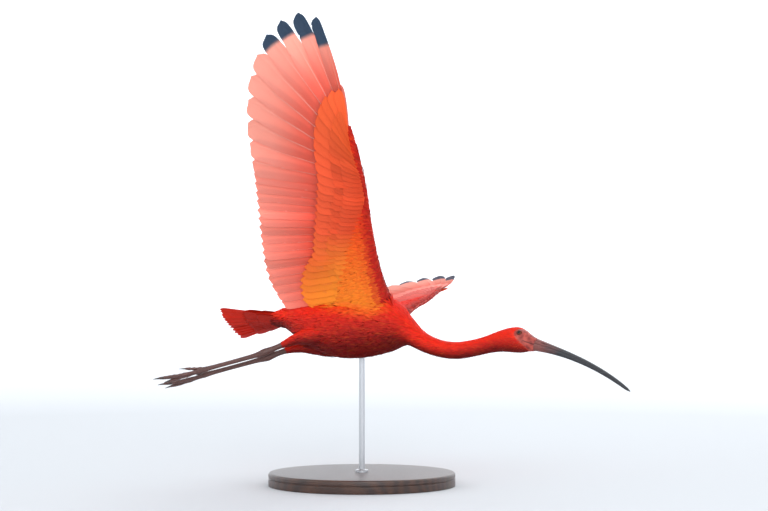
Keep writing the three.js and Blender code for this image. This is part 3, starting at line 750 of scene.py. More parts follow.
pebbled = add(
    tree, "ShaderNodeBump", {"Strength": 0.7, "Distance": 0.0003, "Height": relief.outputs[0]}
)
shader = add(
    tree,
    "ShaderNodeBsdfPrincipled",
    {
        "Base Color": skin_colour.outputs[2],
        "Roughness": 0.52,
        "Subsurface Weight": 0.08,
        "Subsurface Radius": (0.002, 0.0008, 0.0006),
        "Subsurface Scale": 1,
        "Normal": pebbled.outputs[0],
    },
)
tree.links.new(shader.outputs[0], output.inputs[0])

# The line of the mouth carries painted shade.
skin_maps = {"bare": bare_face(skin_x, skin_z), "crease_shade": mouth_line(skin_x, skin_z)}
skin = joined_piece("skin", skin_mesh, bare_skin, skin_maps)
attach(skin, "root")
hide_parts("torso", "neck", "head", "shank_right", "shank_left")

# ---- Bill
# Two long horn halves that bend down together, with a groove along each side of the upper one
# that starts in the nostril. Horn sheath over a core, set against the face.

BILL_LENGTH = 147
BILL_ROOT = np.array([184.1, 0, -30.05])
BILL_START, BILL_TURN = -15, -24
MOUTH_LINE = -0.16
MOUTH_GAP = 0.2
BILL_STEPS, BILL_RINGS = 400, 110
NOSTRIL_AT, NOSTRIL_HALF, NOSTRIL_DEPTH = 0.08, 0.022, 0.3
NOSTRIL_ANGLE, NOSTRIL_OPEN = 25, 6
GROWTH_PITCH, GROWTH_DEPTH, GROWTH_FADE = 1.6, 0.006, 0.16
# Share of the length, half width and half height.
BILL = smooth(
    [
        [0, 7.7, 8.7],
        [0.07, 6.6, 7.5],
        [0.16, 5.4, 6.3],
        [0.3, 4.3, 5.1],
        [0.5, 3.5, 4.1],
        [0.72, 2.9, 3.3],
        [0.9, 2.3, 2.6],
        [0.97, 1.7, 1.9],
        [1, 0.9, 1],
    ]
)
# Angles round the section from the bird's left, and how far each lies from the middle.
UPPER_HALF = smooth(
    [[-6, 1], [10, 0.99], [18, 0.95], [25, 0.83], [33, 0.95], [44, 0.99], [90, 1.02],
     [136, 0.99], [147, 0.95], [155, 0.83], [162, 0.95], [170, 0.99], [186, 1]]
)
LOWER_HALF = smooth(
    [[-174, 1], [-152, 0.99], [-122, 0.95], [-90, 0.93], [-58, 0.95], [-28, 0.99], [-6, 1]]
)
bill_shares = np.linspace(0, 1, BILL_STEPS + 1)
bill_tilts = np.radians(BILL_START + BILL_TURN * bill_shares**1.15)
bill_ways = np.stack([np.cos(bill_tilts), 0 * bill_tilts, np.sin(bill_tilts)], -1)
bill_steps = (bill_ways[1:] + bill_ways[:-1]) / 2 * BILL_LENGTH / BILL_STEPS
bill_middle = BILL_ROOT + np.concatenate([np.zeros((1, 3)), np.cumsum(bill_steps, 0)])


def bill_half(section, angles, side, length):
    """Points and faces of one half, with maps of the way along the bill and of the nostril."""
    share = 1 - (1 - np.linspace(0, 1, BILL_RINGS)) ** 1.25
    at = np.stack([np.interp(share * length, bill_shares, part) for part in bill_middle.T], -1)
    tilt = np.interp(share * length, bill_shares, bill_tilts)[:, None]
    half, high = np.moveaxis(BILL(share), -1, 0)[..., None]
    reach = section(angles)[:, 0]
    nostril = np.exp(-(((share[:, None] - NOSTRIL_AT) / NOSTRIL_HALF) ** 4))
    off_slit = (90 - np.abs(angles - 90) - NOSTRIL_ANGLE) / NOSTRIL_OPEN
    slit = np.exp(-(off_slit**2)) * (side > 0)
    reach = reach - NOSTRIL_DEPTH * nostril * slit
    # Growth lines cross the horn of the root.
    lines = np.sin(share * BILL_LENGTH * 2 * np.pi / GROWTH_PITCH)[:, None]
    reach = reach - GROWTH_DEPTH * (1 + lines) * np.exp(-share / GROWTH_FADE)[:, None]
    mouth = high * MOUTH_LINE + side * MOUTH_GAP / 2
    rise = high * reach * np.sin(np.radians(angles))
    rise = np.maximum(rise, mouth) if side > 0 else np.minimum(rise, mouth)
    rings = np.stack(
        [
            at[:, :1] - np.sin(tilt) * rise,
            half * reach * np.cos(np.radians(angles)),
            at[:, 2:] + np.cos(tilt) * rise,
        ],
        -1,
    )
    points, faces = closed_tube(rings)
    along = np.concatenate([np.repeat(share, len(angles)), [0, 1]])
    pit = np.concatenate([(nostril * slit).ravel(), [0, 0]])
    return points, faced_out(points, faces), {"along": along, "pit": pit}


horn, tree, output = finish("bill horn")
# Polished horn, blackish with a worn reddish root, with fine streaks about 0.5 mm wide, and painted
# shade, near black, in the slit of the nostril.
place = add(tree, "ShaderNodeTexCoord").outputs["Object"]
stretched = add(tree, "ShaderNodeMapping", {"Vector": place, "Scale": (120, 2000, 1400)})
streak = add(tree, "ShaderNodeTexNoise", {"Vector": stretched.outputs[0], "Scale": 1, "Detail": 3})
cloud = add(tree, "ShaderNodeTexNoise", {"Vector": place, "Scale": 90, "Detail": 2})
along_bill = add(tree, "ShaderNodeAttribute", attribute_name="along")
cloudy = add(
    tree,
    "ShaderNodeMath",
    {0: cloud.outputs[0], 1: 0.16, 2: along_bill.outputs["Fac"]},
    operation="MULTIPLY_ADD",
)
rooted = add(
    tree,
    "ShaderNodeMapRange",
    {"Value": cloudy.outputs[0], "From Min": 0.1, "From Max": 0.34},
    interpolation_type="SMOOTHSTEP",
)
dark_horn = add(
    tree,
    "ShaderNodeMix",
    {0: streak.outputs[0], 6: linear("#17181B"), 7: linear("#35363B")},
    data_type="RGBA",
)
red_horn = add(
    tree,
    "ShaderNodeMix",
    {0: streak.outputs[0], 6: linear("#5E2A26"), 7: linear("#8A4A42")},
    data_type="RGBA",
)
horn_colour = add(
    tree,
    "ShaderNodeMix",
    {0: rooted.outputs[0], 6: red_horn.outputs[2], 7: dark_horn.outputs[2]},
    data_type="RGBA",
)
# The nostril's slit is painted near black: painted shade in the hole.
nostril = add(tree, "ShaderNodeAttribute", attribute_name="pit")
nostril_shaded_horn = add(
    tree,
    "ShaderNodeMix",
    {0: nostril.outputs["Fac"], 6: horn_colour.outputs[2], 7: linear("#080505")},
    data_type="RGBA",
)
streaked = add(
    tree, "ShaderNodeBump", {"Strength": 0.2, "Distance": 0.0001, "Height": streak.outputs[0]}
)
shader = add(
    tree,
    "ShaderNodeBsdfPrincipled",
    {
        "Base Color": nostril_shaded_horn.outputs[2],
        "Roughness": 0.44,
        "IOR": 1.54,
        "Normal": streaked.outputs[0],
    },
)
tree.links.new(shader.outputs[0], output.inputs[0])

for bill_name, section, angles, side, length in (
    ("bill_upper", UPPER_HALF, np.linspace(-6, 186, 73), 1, 1),
    ("bill_lower", LOWER_HALF, np.linspace(-174, -6, 43), -1, 0.985),
):
    points, faces, maps = bill_half(section, angles, side, length)
    made = piece(bill_name + "_horn", to_scene(points), faces, horn, maps=maps, sharp=50)
    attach(made, "root")
    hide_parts(bill_name)

# ---- Eyes and lids
# Glass eyes, dark brown with a black pupil under a clear bulge, set in rims of wrinkled lid.

EYE_RADIUS = 4.9
PUPIL_RADIUS = 1.8
IRIS_RADIUS = 3.7
LID_OPEN_LONG, LID_OPEN_HIGH = 3.9, 3.35
LID_REACH = 3.1
LID_THICKNESS = 1.1
EYE_BULGE, BULGE_SPREAD = 0.35, 0.5
EYE_ROWS, EYE_SIDES = 40, 56
# The rear of the ball starts this far round from the pupil, and counts as beyond the iris.
EYE_REAR_FROM, BEYOND_IRIS = 1.6, 9.0
LID_ROWS, LID_SIDES = 12, 110
LID_OFF_BALL, LID_TUCK, LID_SWELL = 0.3, 0.1, 0.5
# Creases run out from the opening and round it: their number and depth.
LID_RAYS, LID_RAY_DEPTH, LID_RINGS, LID_RING_DEPTH = 34, 0.11, 3, 0.12
# Painted shade on each lid next to the opening: how dark it is and how far it reaches.
LID_RIM_SHADE, LID_RIM_SHADE_WIDTH = 0.5, 0.08

glass, tree, output = finish("glass eye")
# Painted glass: a wet even gloss, no stronger than a live eye's, over a brown iris with spokes.
ring = add(tree, "ShaderNodeAttribute", attribute_name="ring").outputs["Fac"]
spoke = add(tree, "ShaderNodeAttribute", attribute_name="spoke").outputs["Fac"]
spokes = add(tree, "ShaderNodeTexNoise", {"W": spoke, "Scale": 14}, noise_dimensions="1D")
iris = add(
    tree,
    "ShaderNodeMix",
    {0: spokes.outputs[0], 6: linear("#34120A"), 7: linear("#6E3014")},
    data_type="RGBA",
)
past_pupil = add(
    tree,
    "ShaderNodeMapRange",
    {"Value": ring, "From Min": PUPIL_RADIUS - 0.1, "From Max": PUPIL_RADIUS + 0.1},
)
pupil = add(
    tree,
    "ShaderNodeMix",
    {0: past_pupil.outputs[0], 6: linear("#030202"), 7: iris.outputs[2]},
    data_type="RGBA",
)
past_iris = add(
    tree,
    "ShaderNodeMapRange",
    {"Value": ring, "From Min": IRIS_RADIUS - 0.2, "From Max": IRIS_RADIUS + 0.3},
)
eye_colour = add(
    tree,
    "ShaderNodeMix",
    {0: past_iris.outputs[0], 6: pupil.outputs[2], 7: linear("#140806")},
    data_type="RGBA",
)
shader = add(
    tree,
    "ShaderNodeBsdfPrincipled",
    {
        "Base Color": eye_colour.outputs[2],
        "Roughness": 0.05,
        "IOR": 1.34,
    },
)
tree.links.new(shader.outputs[0], output.inputs[0])


def skin_side(x, z):
    """How far out the skin of the face lies at each place, on the bird's left."""
    middle, tilt, half, high = np.moveaxis(skin_at(x), -1, 0)
    depth = depth_at(x)[..., 0]
    rise = np.clip((z - middle) / np.cos(np.radians(tilt)) / (high - depth), -0.98, 0.98)
    y = (half - depth) * np.sqrt(1 - rise**2)
    return face_form(np.stack([x, y, z], -1))[..., 1]


for side, side_name in ((RIGHT, "right"), (LEFT, "left")):
    down_axis = np.linspace(0.02, np.pi - 0.02, EYE_ROWS)
    turn = full_turn(EYE_SIDES)
    radius = EYE_RADIUS + EYE_BULGE * np.exp(-((down_axis / BULGE_SPREAD) ** 2))
    away = (radius * np.sin(down_axis))[:, None]
    out = (radius * np.cos(down_axis))[:, None] + 0 * turn
    ball = np.stack(
        [EYE[0] + away * np.cos(turn), side * (EYE[1] + out), EYE[2] + away * np.sin(turn)], -1
    )
    points, faces = closed_tube(ball)
    ring = np.where(down_axis < EYE_REAR_FROM, away.T, BEYOND_IRIS).T + 0 * turn
    made = piece(
        "eye_glass_" + side_name,
        to_scene(points),
        faced_out(points, faces),
        glass,
        maps={
            "ring": np.concatenate([ring.ravel(), [0, BEYOND_IRIS]]),
            "spoke": np.concatenate([np.repeat(turn[None], EYE_ROWS, 0).ravel(), [0, 0]]),
        },
    )
    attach(made, "root")
    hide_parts("eye_" + side_name)

    # Each lid is a soft band from the rim of the opening out to the skin round the eye.
    over = np.linspace(0, 1, LID_ROWS)
    turn = full_turn(LID_SIDES)[:, None]
    reach = LID_REACH * over * (1 + 0.12 * np.sin(turn))
    rim_x = EYE[0] + (LID_OPEN_LONG + reach) * np.cos(turn) + 0.1 * reach * np.sin(turn)
    rim_z = EYE[2] + (LID_OPEN_HIGH + reach) * np.sin(turn)
    apart = np.hypot(rim_x - EYE[0], rim_z - EYE[2])
    on_ball = EYE[1] + np.sqrt(EYE_RADIUS**2 - np.minimum(apart, 4.3) ** 2) + LID_OFF_BALL
    rays = LID_RAY_DEPTH * np.sin(LID_RAYS * turn + 2 * over) * over
    creases = rays + LID_RING_DEPTH * np.sin(over * LID_RINGS * 2 * np.pi)
    rim_out = mix(on_ball, skin_side(rim_x, rim_z) - LID_TUCK, over**1.3)
    rim_out = rim_out + (LID_SWELL + creases) * np.sin(np.pi * np.clip(over * 1.1, 0, 1)) ** 0.7
    top = np.stack([rim_x, side * rim_out, rim_z], -1)
    under = top - [0, side * LID_THICKNESS, 0]
    rings = np.concatenate([top, under[:, ::-1]], 1)
    points = rings.reshape(-1, 3)
    faces = [grid_faces(len(rings) + 1, rings.shape[1]) % len(points)]
    # Painted shade darkens the lid's rim where it meets the eye.
    edge = LID_RIM_SHADE * np.exp(-((over / LID_RIM_SHADE_WIDTH) ** 2)) + 0 * turn
    lid_rim_shade = np.concatenate([edge, 0 * edge], 1)
    made = piece(
        "eyelid_" + side_name,
        to_scene(points),
        faced_out(points, faces),
        bare_skin,
        maps={"bare": np.ones(len(points)), "crease_shade": lid_rim_shade.ravel()},
    )
    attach(made, "root")

# ---- Legs and feet
# Bare below the thigh feathers: slender shank, knobbed ankle and tarsus with a row of broad
# scutes down the front, then three webbed front toes and one behind. Cast and painted.

BARE_FROM_ROW, LEG_END_ROW = 4.6, 15
FOOT_AT = np.array([-274, 6.9, -78.2])
# Length, spread to the side and droop in degrees, radius, and height at the joint.
TOES = [
    (46, -3.5, 22, 2.6, -0.6),
    (60, 1.5, 18, 2.8, -0.9),
    (52, 7, 21, 2.6, -0.6),
    (23, 0, 3, 2.2, 2.6),
]
TOE_SHAPE = smooth(
    [[0, 1.15], [0.12, 1], [0.3, 0.86], [0.38, 1], [0.6, 0.78], [0.68, 0.92], [0.9, 0.72], [1, 0.5]]
)
TOE_CURL = 0.0016
CLAW_LENGTH = 8.5
SCUTE_PITCH = 3.6
TOE_SCUTE_PITCH = 2.2
# Depths of the scutes down the front of the leg, of the smaller ones behind and on the toes.
SCUTE_DEPTH, REAR_SCUTE_DEPTH, TOE_SCUTE_DEPTH = 0.26, 0.12, 0.22
PAD_PITCH, PAD_DEPTH = 7, 0.09
# Where the shank runs up inside the thigh, it is slimmer by this much.
SHANK_TUCK, LEG_INSET = 2.6, 0.1
LEG_SIDES, LEG_RINGS, TOE_SIDES = 40, 260, 26
CLAW_SIDES, CLAW_RINGS, CLAW_HOOK = 16, 16, 0.9


def scutes(distance, angle, pitch, depth, facing):
    """How far the skin stands out: a saw of overlapping plates on the side that faces a way."""
    saw = (distance / pitch) % 1
    plate = saw**3 - 0.35
    front = np.clip(np.cos(angle - facing) * 2.2, 0, 1)
    return depth * plate[:, None] * front


def toe_line(side, toe, distance):
    """The middle line of a toe, by distance from its root."""
    _, spread_by, droop, _, rise = toe
    spread_by, droop = math.radians(side * spread_by), math.radians(droop)
    return np.stack(
        [
            FOOT_AT[0] - distance * math.cos(droop) * math.cos(spread_by),
            side * FOOT_AT[1] + distance * math.sin(spread_by),
            FOOT_AT[2] + rise - distance * math.sin(droop) + TOE_CURL * distance**2,
        ],
        -1,
    )


def toe_solid(side, toe):
    """One toe, with scutes above and pads below."""
    distance = np.linspace(-1.5, toe[0], int(toe[0] / 0.55))
    share = np.clip(distance / toe[0], 0, 1)
    angle = full_turn(TOE_SIDES)
    radius = toe[3] * TOE_SHAPE(share)
    radius = radius + scutes(distance, angle, TOE_SCUTE_PITCH, TOE_SCUTE_DEPTH, math.pi / 2)
    pads = PAD_DEPTH * (1 + np.sin(distance * 2 * np.pi / PAD_PITCH))[:, None]
    radius = radius * (1 + pads * np.clip(-np.sin(angle), 0, 1))
    radius[-1] *= 0.6
    return closed_tube(tube_rings(toe_line(side, toe, distance), radius))


def web_solid(side, first, second):
    """The web between two toes, a thin sheet with a hollow edge."""
    t = np.linspace(0, 1, 9)
    share = np.linspace(0.02, 1, 10)[:, None]
    reach = share * (0.32 - 0.08 * np.sin(np.pi * t))
    a = toe_line(side, first, reach * first[0])
    b = toe_line(side, second, reach * second[0])
    sheet = a + (b - a) * t[:, None]
    sheet = np.concatenate([sheet + [0, 0, 0.4], (sheet - [0, 0, 0.4])[:, ::-1]], 1)
    return closed_tube(sheet)


leg_skin, tree, output = finish("scaly leg skin")
# Horny skin, dull pinkish red with darker joints, in small scales about 0.9 mm across, satin.
place = add(tree, "ShaderNodeTexCoord").outputs["Object"]
scale_cells = add(
    tree, "ShaderNodeTexVoronoi", {"Vector": place, "Scale": 1100}, feature="DISTANCE_TO_EDGE"
)
scale_edge = add(
    tree, "ShaderNodeMapRange", {"Value": scale_cells.outputs[0], "From Max": 0.12}
)
stain = add(tree, "ShaderNodeTexNoise", {"Vector": place, "Scale": 60, "Detail": 4})
leg_colour = add(
    tree,
    "ShaderNodeMix",
    {0: stain.outputs[0], 6: linear("#4A302B"), 7: linear("#764C44")},
    data_type="RGBA",
)
edged = add(
    tree,
    "ShaderNodeMix",
    {0: scale_edge.outputs[0], 6: linear("#3C2420"), 7: leg_colour.outputs[2]},
    data_type="RGBA",
)
scaled = add(
    tree, "ShaderNodeBump", {"Strength": 0.45, "Distance": 0.0002, "Height": scale_edge.outputs[0]}
)
shader = add(
    tree,
    "ShaderNodeBsdfPrincipled",
    {"Base Color": edged.outputs[2], "Roughness": 0.46, "Normal": scaled.outputs[0]},
)
tree.links.new(shader.outputs[0], output.inputs[0])

def joined(batches):
    """Several batches of points, faces and maps as one."""
    shift = 0
    points, quads, ends, maps = [], [], [], []
    for batch_points, (batch_quads, batch_ends), batch_maps in batches:
        points.append(batch_points)
        quads.append(batch_quads + shift)
        ends.append(batch_ends + shift)
        maps.append(batch_maps)
        shift += len(batch_points)
    both = {key: np.concatenate([part[key] for part in maps]) for key in maps[0]}
    return np.concatenate(points), [np.concatenate(quads), np.concatenate(ends)], both


claw_batches = []
for side, side_name in ((RIGHT, "right"), (LEFT, "left")):
    rows = np.linspace(BARE_FROM_ROW, LEG_END_ROW, LEG_RINGS)
    x, y, z, radius = np.moveaxis(leg_at(rows), -1, 0)
    line = np.stack([x, side * y, z], -1)
    distance = np.concatenate([[0], np.cumsum(np.linalg.norm(np.diff(line, axis=0), axis=1))])
    angle = full_turn(LEG_SIDES)
    plates = scutes(distance, angle, SCUTE_PITCH, SCUTE_DEPTH, -math.pi / 2)
    plates += scutes(distance + 1.3, angle, SCUTE_PITCH * 0.8, REAR_SCUTE_DEPTH, math.pi / 2)
    plates *= np.clip((-160 - x) / 8, 0, 1)[:, None]
    tucked = SHANK_TUCK * np.clip((x + 158) / 8, 0, 1)[:, None]
    radius = radius[:, None] - LEG_INSET - tucked + plates
    # The shank ends rounded between the roots of the toes.
    near_end = np.clip((rows - LEG_END_ROW + 0.8) / 0.8, 0, 1)
    radius = radius * np.sqrt(1.02 - near_end**2)[:, None]
    solids = [closed_tube(tube_rings(line, radius))]
    solids += [toe_solid(side, toe) for toe in TOES]
    solids += [web_solid(side, TOES[0], TOES[1]), web_solid(side, TOES[1], TOES[2])]
    made = joined_piece("leg_" + side_name, united(solids), leg_skin, sharp=50)
    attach(made, "root")
    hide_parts("tarsus_" + side_name, "foot_" + side_name)
    for toe in TOES:
        share = np.linspace(0, 1, CLAW_RINGS)
        distance = toe[0] - 1.2 + share * (CLAW_LENGTH + 1.3)
        line = toe_line(side, toe, distance)
        line[:, 2] -= CLAW_HOOK * share**2
        slim = toe[3] * (0.5 - 0.4 * share**1.2)
        keel = 1 - 0.22 * np.clip(-np.sin(full_turn(CLAW_SIDES)), 0, 1)
        points, faces = closed_tube(tube_rings(line, slim[:, None] * keel))
        claw_batches.append((points, faced_out(points, faces), {}))

claw_horn, tree, output = finish("claw horn")
# Dark horn with a satin shine, streaked along its length.
place = add(tree, "ShaderNodeTexCoord").outputs["Object"]
stretched = add(tree, "ShaderNodeMapping", {"Vector": place, "Scale": (300, 2600, 2600)})
streak = add(tree, "ShaderNodeTexNoise", {"Vector": stretched.outputs[0], "Scale": 1, "Detail": 2})
claw_colour = add(
    tree,
    "ShaderNodeMix",
    {0: streak.outputs[0], 6: linear("#140F0E"), 7: linear("#3A2C28")},
    data_type="RGBA",
)
shader = add(
    tree,
    "ShaderNodeBsdfPrincipled",
    {"Base Color": claw_colour.outputs[2], "Roughness": 0.38, "IOR": 1.54},
)
tree.links.new(shader.outputs[0], output.inputs[0])
points, faces, _ = joined(claw_batches)
claws = piece("claws", to_scene(points), faces, claw_horn, sharp=60)
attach(claws, "root")
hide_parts(*[f"claw_{side}_{toe}" for side in ("right", "left") for toe in (1, 2, 3, 4)])

# ---- Body feathers
# Small contour feathers cover the body, neck, head, thighs and the fleshy part of the wings.
# Each is a thin keratin vane with a ragged tip, rooted in the skin and lying back over the
# next ones, largest on the back and smallest on the face.

# The lie of the coat is worked out on a softened copy of the skin.
VOXEL = 1.6
soft = bpy.data.objects.new("softened", whole_skin(0))
bpy.context.scene.collection.objects.link(soft)
remesh = soft.modifiers.new("remesh", "REMESH")
remesh.mode, remesh.voxel_size = "VOXEL", VOXEL
soften = soft.modifiers.new("soften", "SMOOTH")
soften.iterations, soften.factor = 4, 0.5
graph = bpy.context.evaluated_depsgraph_get()
guide_mesh = bpy.data.meshes.new_from_object(soft.evaluated_get(graph))
bpy.data.objects.remove(soft)
guide_points = points_of(guide_mesh)
guide_normals = np.zeros(len(guide_mesh.vertices) * 3, np.float32)
guide_mesh.vertices.foreach_get("normal", guide_normals)
guide_normals = guide_normals.reshape(-1, 3).astype(float)
guide_mesh.calc_loop_triangles()
triangles = np.zeros(len(guide_mesh.loop_triangles) * 3, np.int32)
guide_mesh.loop_triangles.foreach_get("vertices", triangles)
triangles = triangles.reshape(-1, 3)
guide = BVHTree.FromPolygons(guide_points.tolist(), triangles.tolist())


def nearest(samples, places):
    """For each place, which sample is nearest and how far off it is."""
    tree = KDTree(len(samples))
    for i, sample in enumerate(samples):
        tree.insert(sample, i)
    tree.balance()
    found = [tree.find(place)[1:] for place in places]
    return np.array([i for i, _ in found]), np.array([far for _, far in found])


# Three forms carry the coat: body, arms and thighs. Each point of the skin takes its share of
# each from the nearest samples of it, with the way that its feathers lie.
FORMS = BODY, ARM_FORM, THIGH = range(3)
FORM_BLEND = 7
LEAN = smooth([[-6, -0.35], [60, -0.2], [108, 0.02], [160, 0.2], [200, 0.55], [254, 1.1]])
lie_samples = {form: [] for form in FORMS}


def sample_lie(form, rings, ways, first, second):
    """Keeps points of one form with the way of its feathers and two values of their place."""
    where = np.stack([first + 0 * rings[..., 0], second + 0 * rings[..., 0]], -1)
    lie_samples[form].append((rings.reshape(-1, 3), ways.reshape(-1, 3), where.reshape(-1, 2)))


body_sample_x, body_sample_turn = np.arange(-176, 184, 4.0), round_body[::4]
arm_sample_u, arm_sample_turn = np.arange(-6, 252, 6.0), round_arm[::2]
rings = body_ring(body_sample_x, body_sample_turn)
ways = np.zeros_like(rings) + [-1, 0, 0]
sample_lie(BODY, rings, ways, body_sample_x[:, None], body_sample_turn)
for side in (RIGHT, LEFT):
    rings = arm_ring(side, arm_sample_u, arm_sample_turn)
    u = arm_sample_u[:, None]
    lean = LEAN(arm_sample_u)
    v = 0 * arm_sample_turn
    way = wing_point(side, u + lean, v - 1, 0 * v) - wing_point(side, u + 0 * lean, v, 0 * v)
    sample_lie(ARM_FORM, rings, way, u, arm_sample_turn)
for side in (RIGHT, LEFT):
    rings = thigh_rings(side)
    way = np.repeat(np.gradient(rings.mean(1), axis=0)[:, None], rings.shape[1], 1)
    sample_lie(THIGH, rings, way, rings[..., 0], rings[..., 1])
weights = np.zeros((len(guide_points), len(FORMS)))
lies = np.zeros((len(guide_points), 3))
spots = np.zeros((len(guide_points), len(FORMS), 2))
for form in FORMS:
    samples, ways, where = (np.concatenate(part) for part in zip(*lie_samples[form]))
    index, far = nearest(samples, guide_points)
    weights[:, form] = np.exp(-((far / FORM_BLEND) ** 2)) + 1e-6
    lies += unit(ways)[index] * weights[:, form : form + 1]
    spots[:, form] = where[index]
weights /= weights.sum(1, keepdims=True)
lies = unit(lies)
corner_lies = unit(lies[triangles].mean(1))

corner_normals = unit(guide_normals[triangles].mean(1))
corner_weights = weights[triangles].mean(1)
corner_points = guide_points[triangles].mean(1)
corner_form = corner_weights.argmax(1)
corner_spots = spots[triangles[:, 0], corner_form]
edge_1 = guide_points[triangles[:, 1]] - guide_points[triangles[:, 0]]
edge_2 = guide_points[triangles[:, 2]] - guide_points[triangles[:, 0]]
corner_area = np.linalg.norm(np.cross(edge_1, edge_2), axis=1) / 2

# Spacing, length, half width and height of the tip over the skin, along the body,
# then on the arm from its leading edge back, and on the thigh.
BODY_SIZES = smooth(
    [
        [-176, 1.9, 27, 1.7, 1.2],
        [-140, 1.75, 24, 1.6, 2.8],
        [-60, 1.65, 20, 1.5, 3.3],
        [-10, 1.55, 16, 1.3, 3],
        [12, 1.4, 12.5, 0.95, 2.4],
        [40, 1.2, 10.5, 0.75, 1.9],
        [100, 1.15, 9, 0.68, 1.7],
        [130, 1, 7, 0.56, 1.3],
        [150, 0.85, 5.2, 0.44, 0.9],
        [165, 0.72, 3.4, 0.35, 0.55],
        [184, 0.62, 2.3, 0.28, 0.32],
    ]
)
ARM_SIZES = smooth(
    [
        [-66, 2.3, 17, 2, 2],
        [-40, 2.2, 15, 1.8, 1.8],
        [-10, 1.9, 11.5, 1.4, 1.3],
        [16, 1.6, 8, 1.05, 0.9],
    ]
)
THIGH_SIZES = smooth(
    [[-163, 1.5, 12, 0.6, 0.35], [-152, 1.25, 12, 0.75, 0.9], [-100, 1.8, 14, 1.3, 2.1]]
)

x, y, z = corner_points.T
on_arm, on_thigh = corner_form == ARM_FORM, corner_form == THIGH
arm_front, arm_back, _ = arm_at(np.where(on_arm, corner_spots[:, 0], 0)).T
arm_v = mix(arm_back, arm_front, 0.5 + 0.5 * np.cos(corner_spots[:, 1]))
sizes = np.where(
    (corner_form == BODY)[:, None],
    BODY_SIZES(x),
    np.where(on_arm[:, None], ARM_SIZES(arm_v), THIGH_SIZES(x)),
)
# Long scapulars lie over the shoulders: where they lie, and how much larger each size is.
SHOULDER_X, SHOULDER_LONG, SHOULDER_Y, SHOULDER_WIDE, SHOULDER_ABOVE = -55, 36, 27, 15, 6
SCAPULAR_GAIN = [0.2, 0.75, 0.7, 0.2]
along_shoulder = (x - SHOULDER_X) / SHOULDER_LONG
across_shoulder = (np.abs(y) - SHOULDER_Y) / SHOULDER_WIDE
shoulder = np.exp(-(along_shoulder**2) - across_shoulder**2) * (z > SHOULDER_ABOVE) * ~on_thigh
sizes = sizes * (1 + shoulder[:, None] * SCAPULAR_GAIN)
naked = np.where(corner_form == BODY, bare_face(x, z), 0)
# None grow where the skin faces back along the rear of the arm, which the coverts hide.
ARM_BACK_LIMIT, BACK_LIMIT, RUMP_BACK_LIMIT = 0.3, 0.75, 0.6
ARM_REAR_BARE = 12
facing_back = (corner_normals * corner_lies).sum(1)
naked = np.where(facing_back > np.where(on_arm, ARM_BACK_LIMIT, BACK_LIMIT), 1, naked)
naked = np.where(on_arm & (arm_v < arm_back + ARM_REAR_BARE), 1, naked)
# The tail's own coverts take over at the rump, and the bare leg below the thigh.
THIGH_END_X, RUMP_END_X, RUMP_FROM_X = -162, -180, -150
naked = np.where(x < np.where(on_thigh, THIGH_END_X, RUMP_END_X), 1, naked)
naked = np.where((x < RUMP_FROM_X) & (facing_back > RUMP_BACK_LIMIT), 1, naked)

# Roots are drawn at random over the skin, and any too near one already kept is dropped.
CANDIDATES_EACH = 5
feathered = naked + rng.normal(0, 0.08, len(naked)) < 0.5
density = corner_area / (0.8 * sizes[:, 0] ** 2) * feathered
wanted = density * CANDIDATES_EACH
amount = (wanted + rng.random(len(wanted))).astype(int)
root_triangle = np.repeat(np.arange(len(amount)), amount)
share = rng.random((len(root_triangle), 2))
share = np.where(share.sum(1, keepdims=True) > 1, 1 - share, share)
root_at = (
    guide_points[triangles[root_triangle, 0]]
    + edge_1[root_triangle] * share[:, :1]
    + edge_2[root_triangle] * share[:, 1:]
)
order = rng.permutation(len(root_at))
root_at, root_triangle = root_at[order], root_triangle[order]
found = KDTree(len(root_at))
for i, at in enumerate(root_at):
    found.insert(at, i)
found.balance()
kept = np.zeros(len(root_at), bool)
for i, at in enumerate(root_at):
    spacing = sizes[root_triangle[i], 0]
    kept[i] = not any(kept[j] for _, j, _ in found.find_range(at, spacing) if j < i)
root_at, root_triangle = root_at[kept], root_triangle[kept]


def vane_points(middle, across, over, plus, minus, columns, thick, sag, tips):
    """Points of closed thin vanes, as [vane, station, point]. plus and minus are the widths on
    the two sides of the shaft, and tips moves each column's points along the vane."""
    reach = np.where(columns > 0, plus[..., None], minus[..., None]) * columns
    at = middle[..., None, :] + across[..., None, :] * reach[..., None]
    along = unit(np.gradient(middle, axis=1))
    at = at + along[..., None, :] * tips[..., None]
    lift = -sag[..., None] * columns**2
    shaft = 1 if len(columns) < 8 else 1.7
    full = np.where(np.abs(columns) < 0.02, shaft, 0.5) * (np.abs(columns) < 1)
    half = thick[..., None] / 2 * full
    top = at + over[..., None, :] * (lift + half)[..., None]
    bottom = at + over[..., None, :] * (lift - half)[..., None]
    return np.concatenate([top, bottom[:, :, 1:-1]], 2)


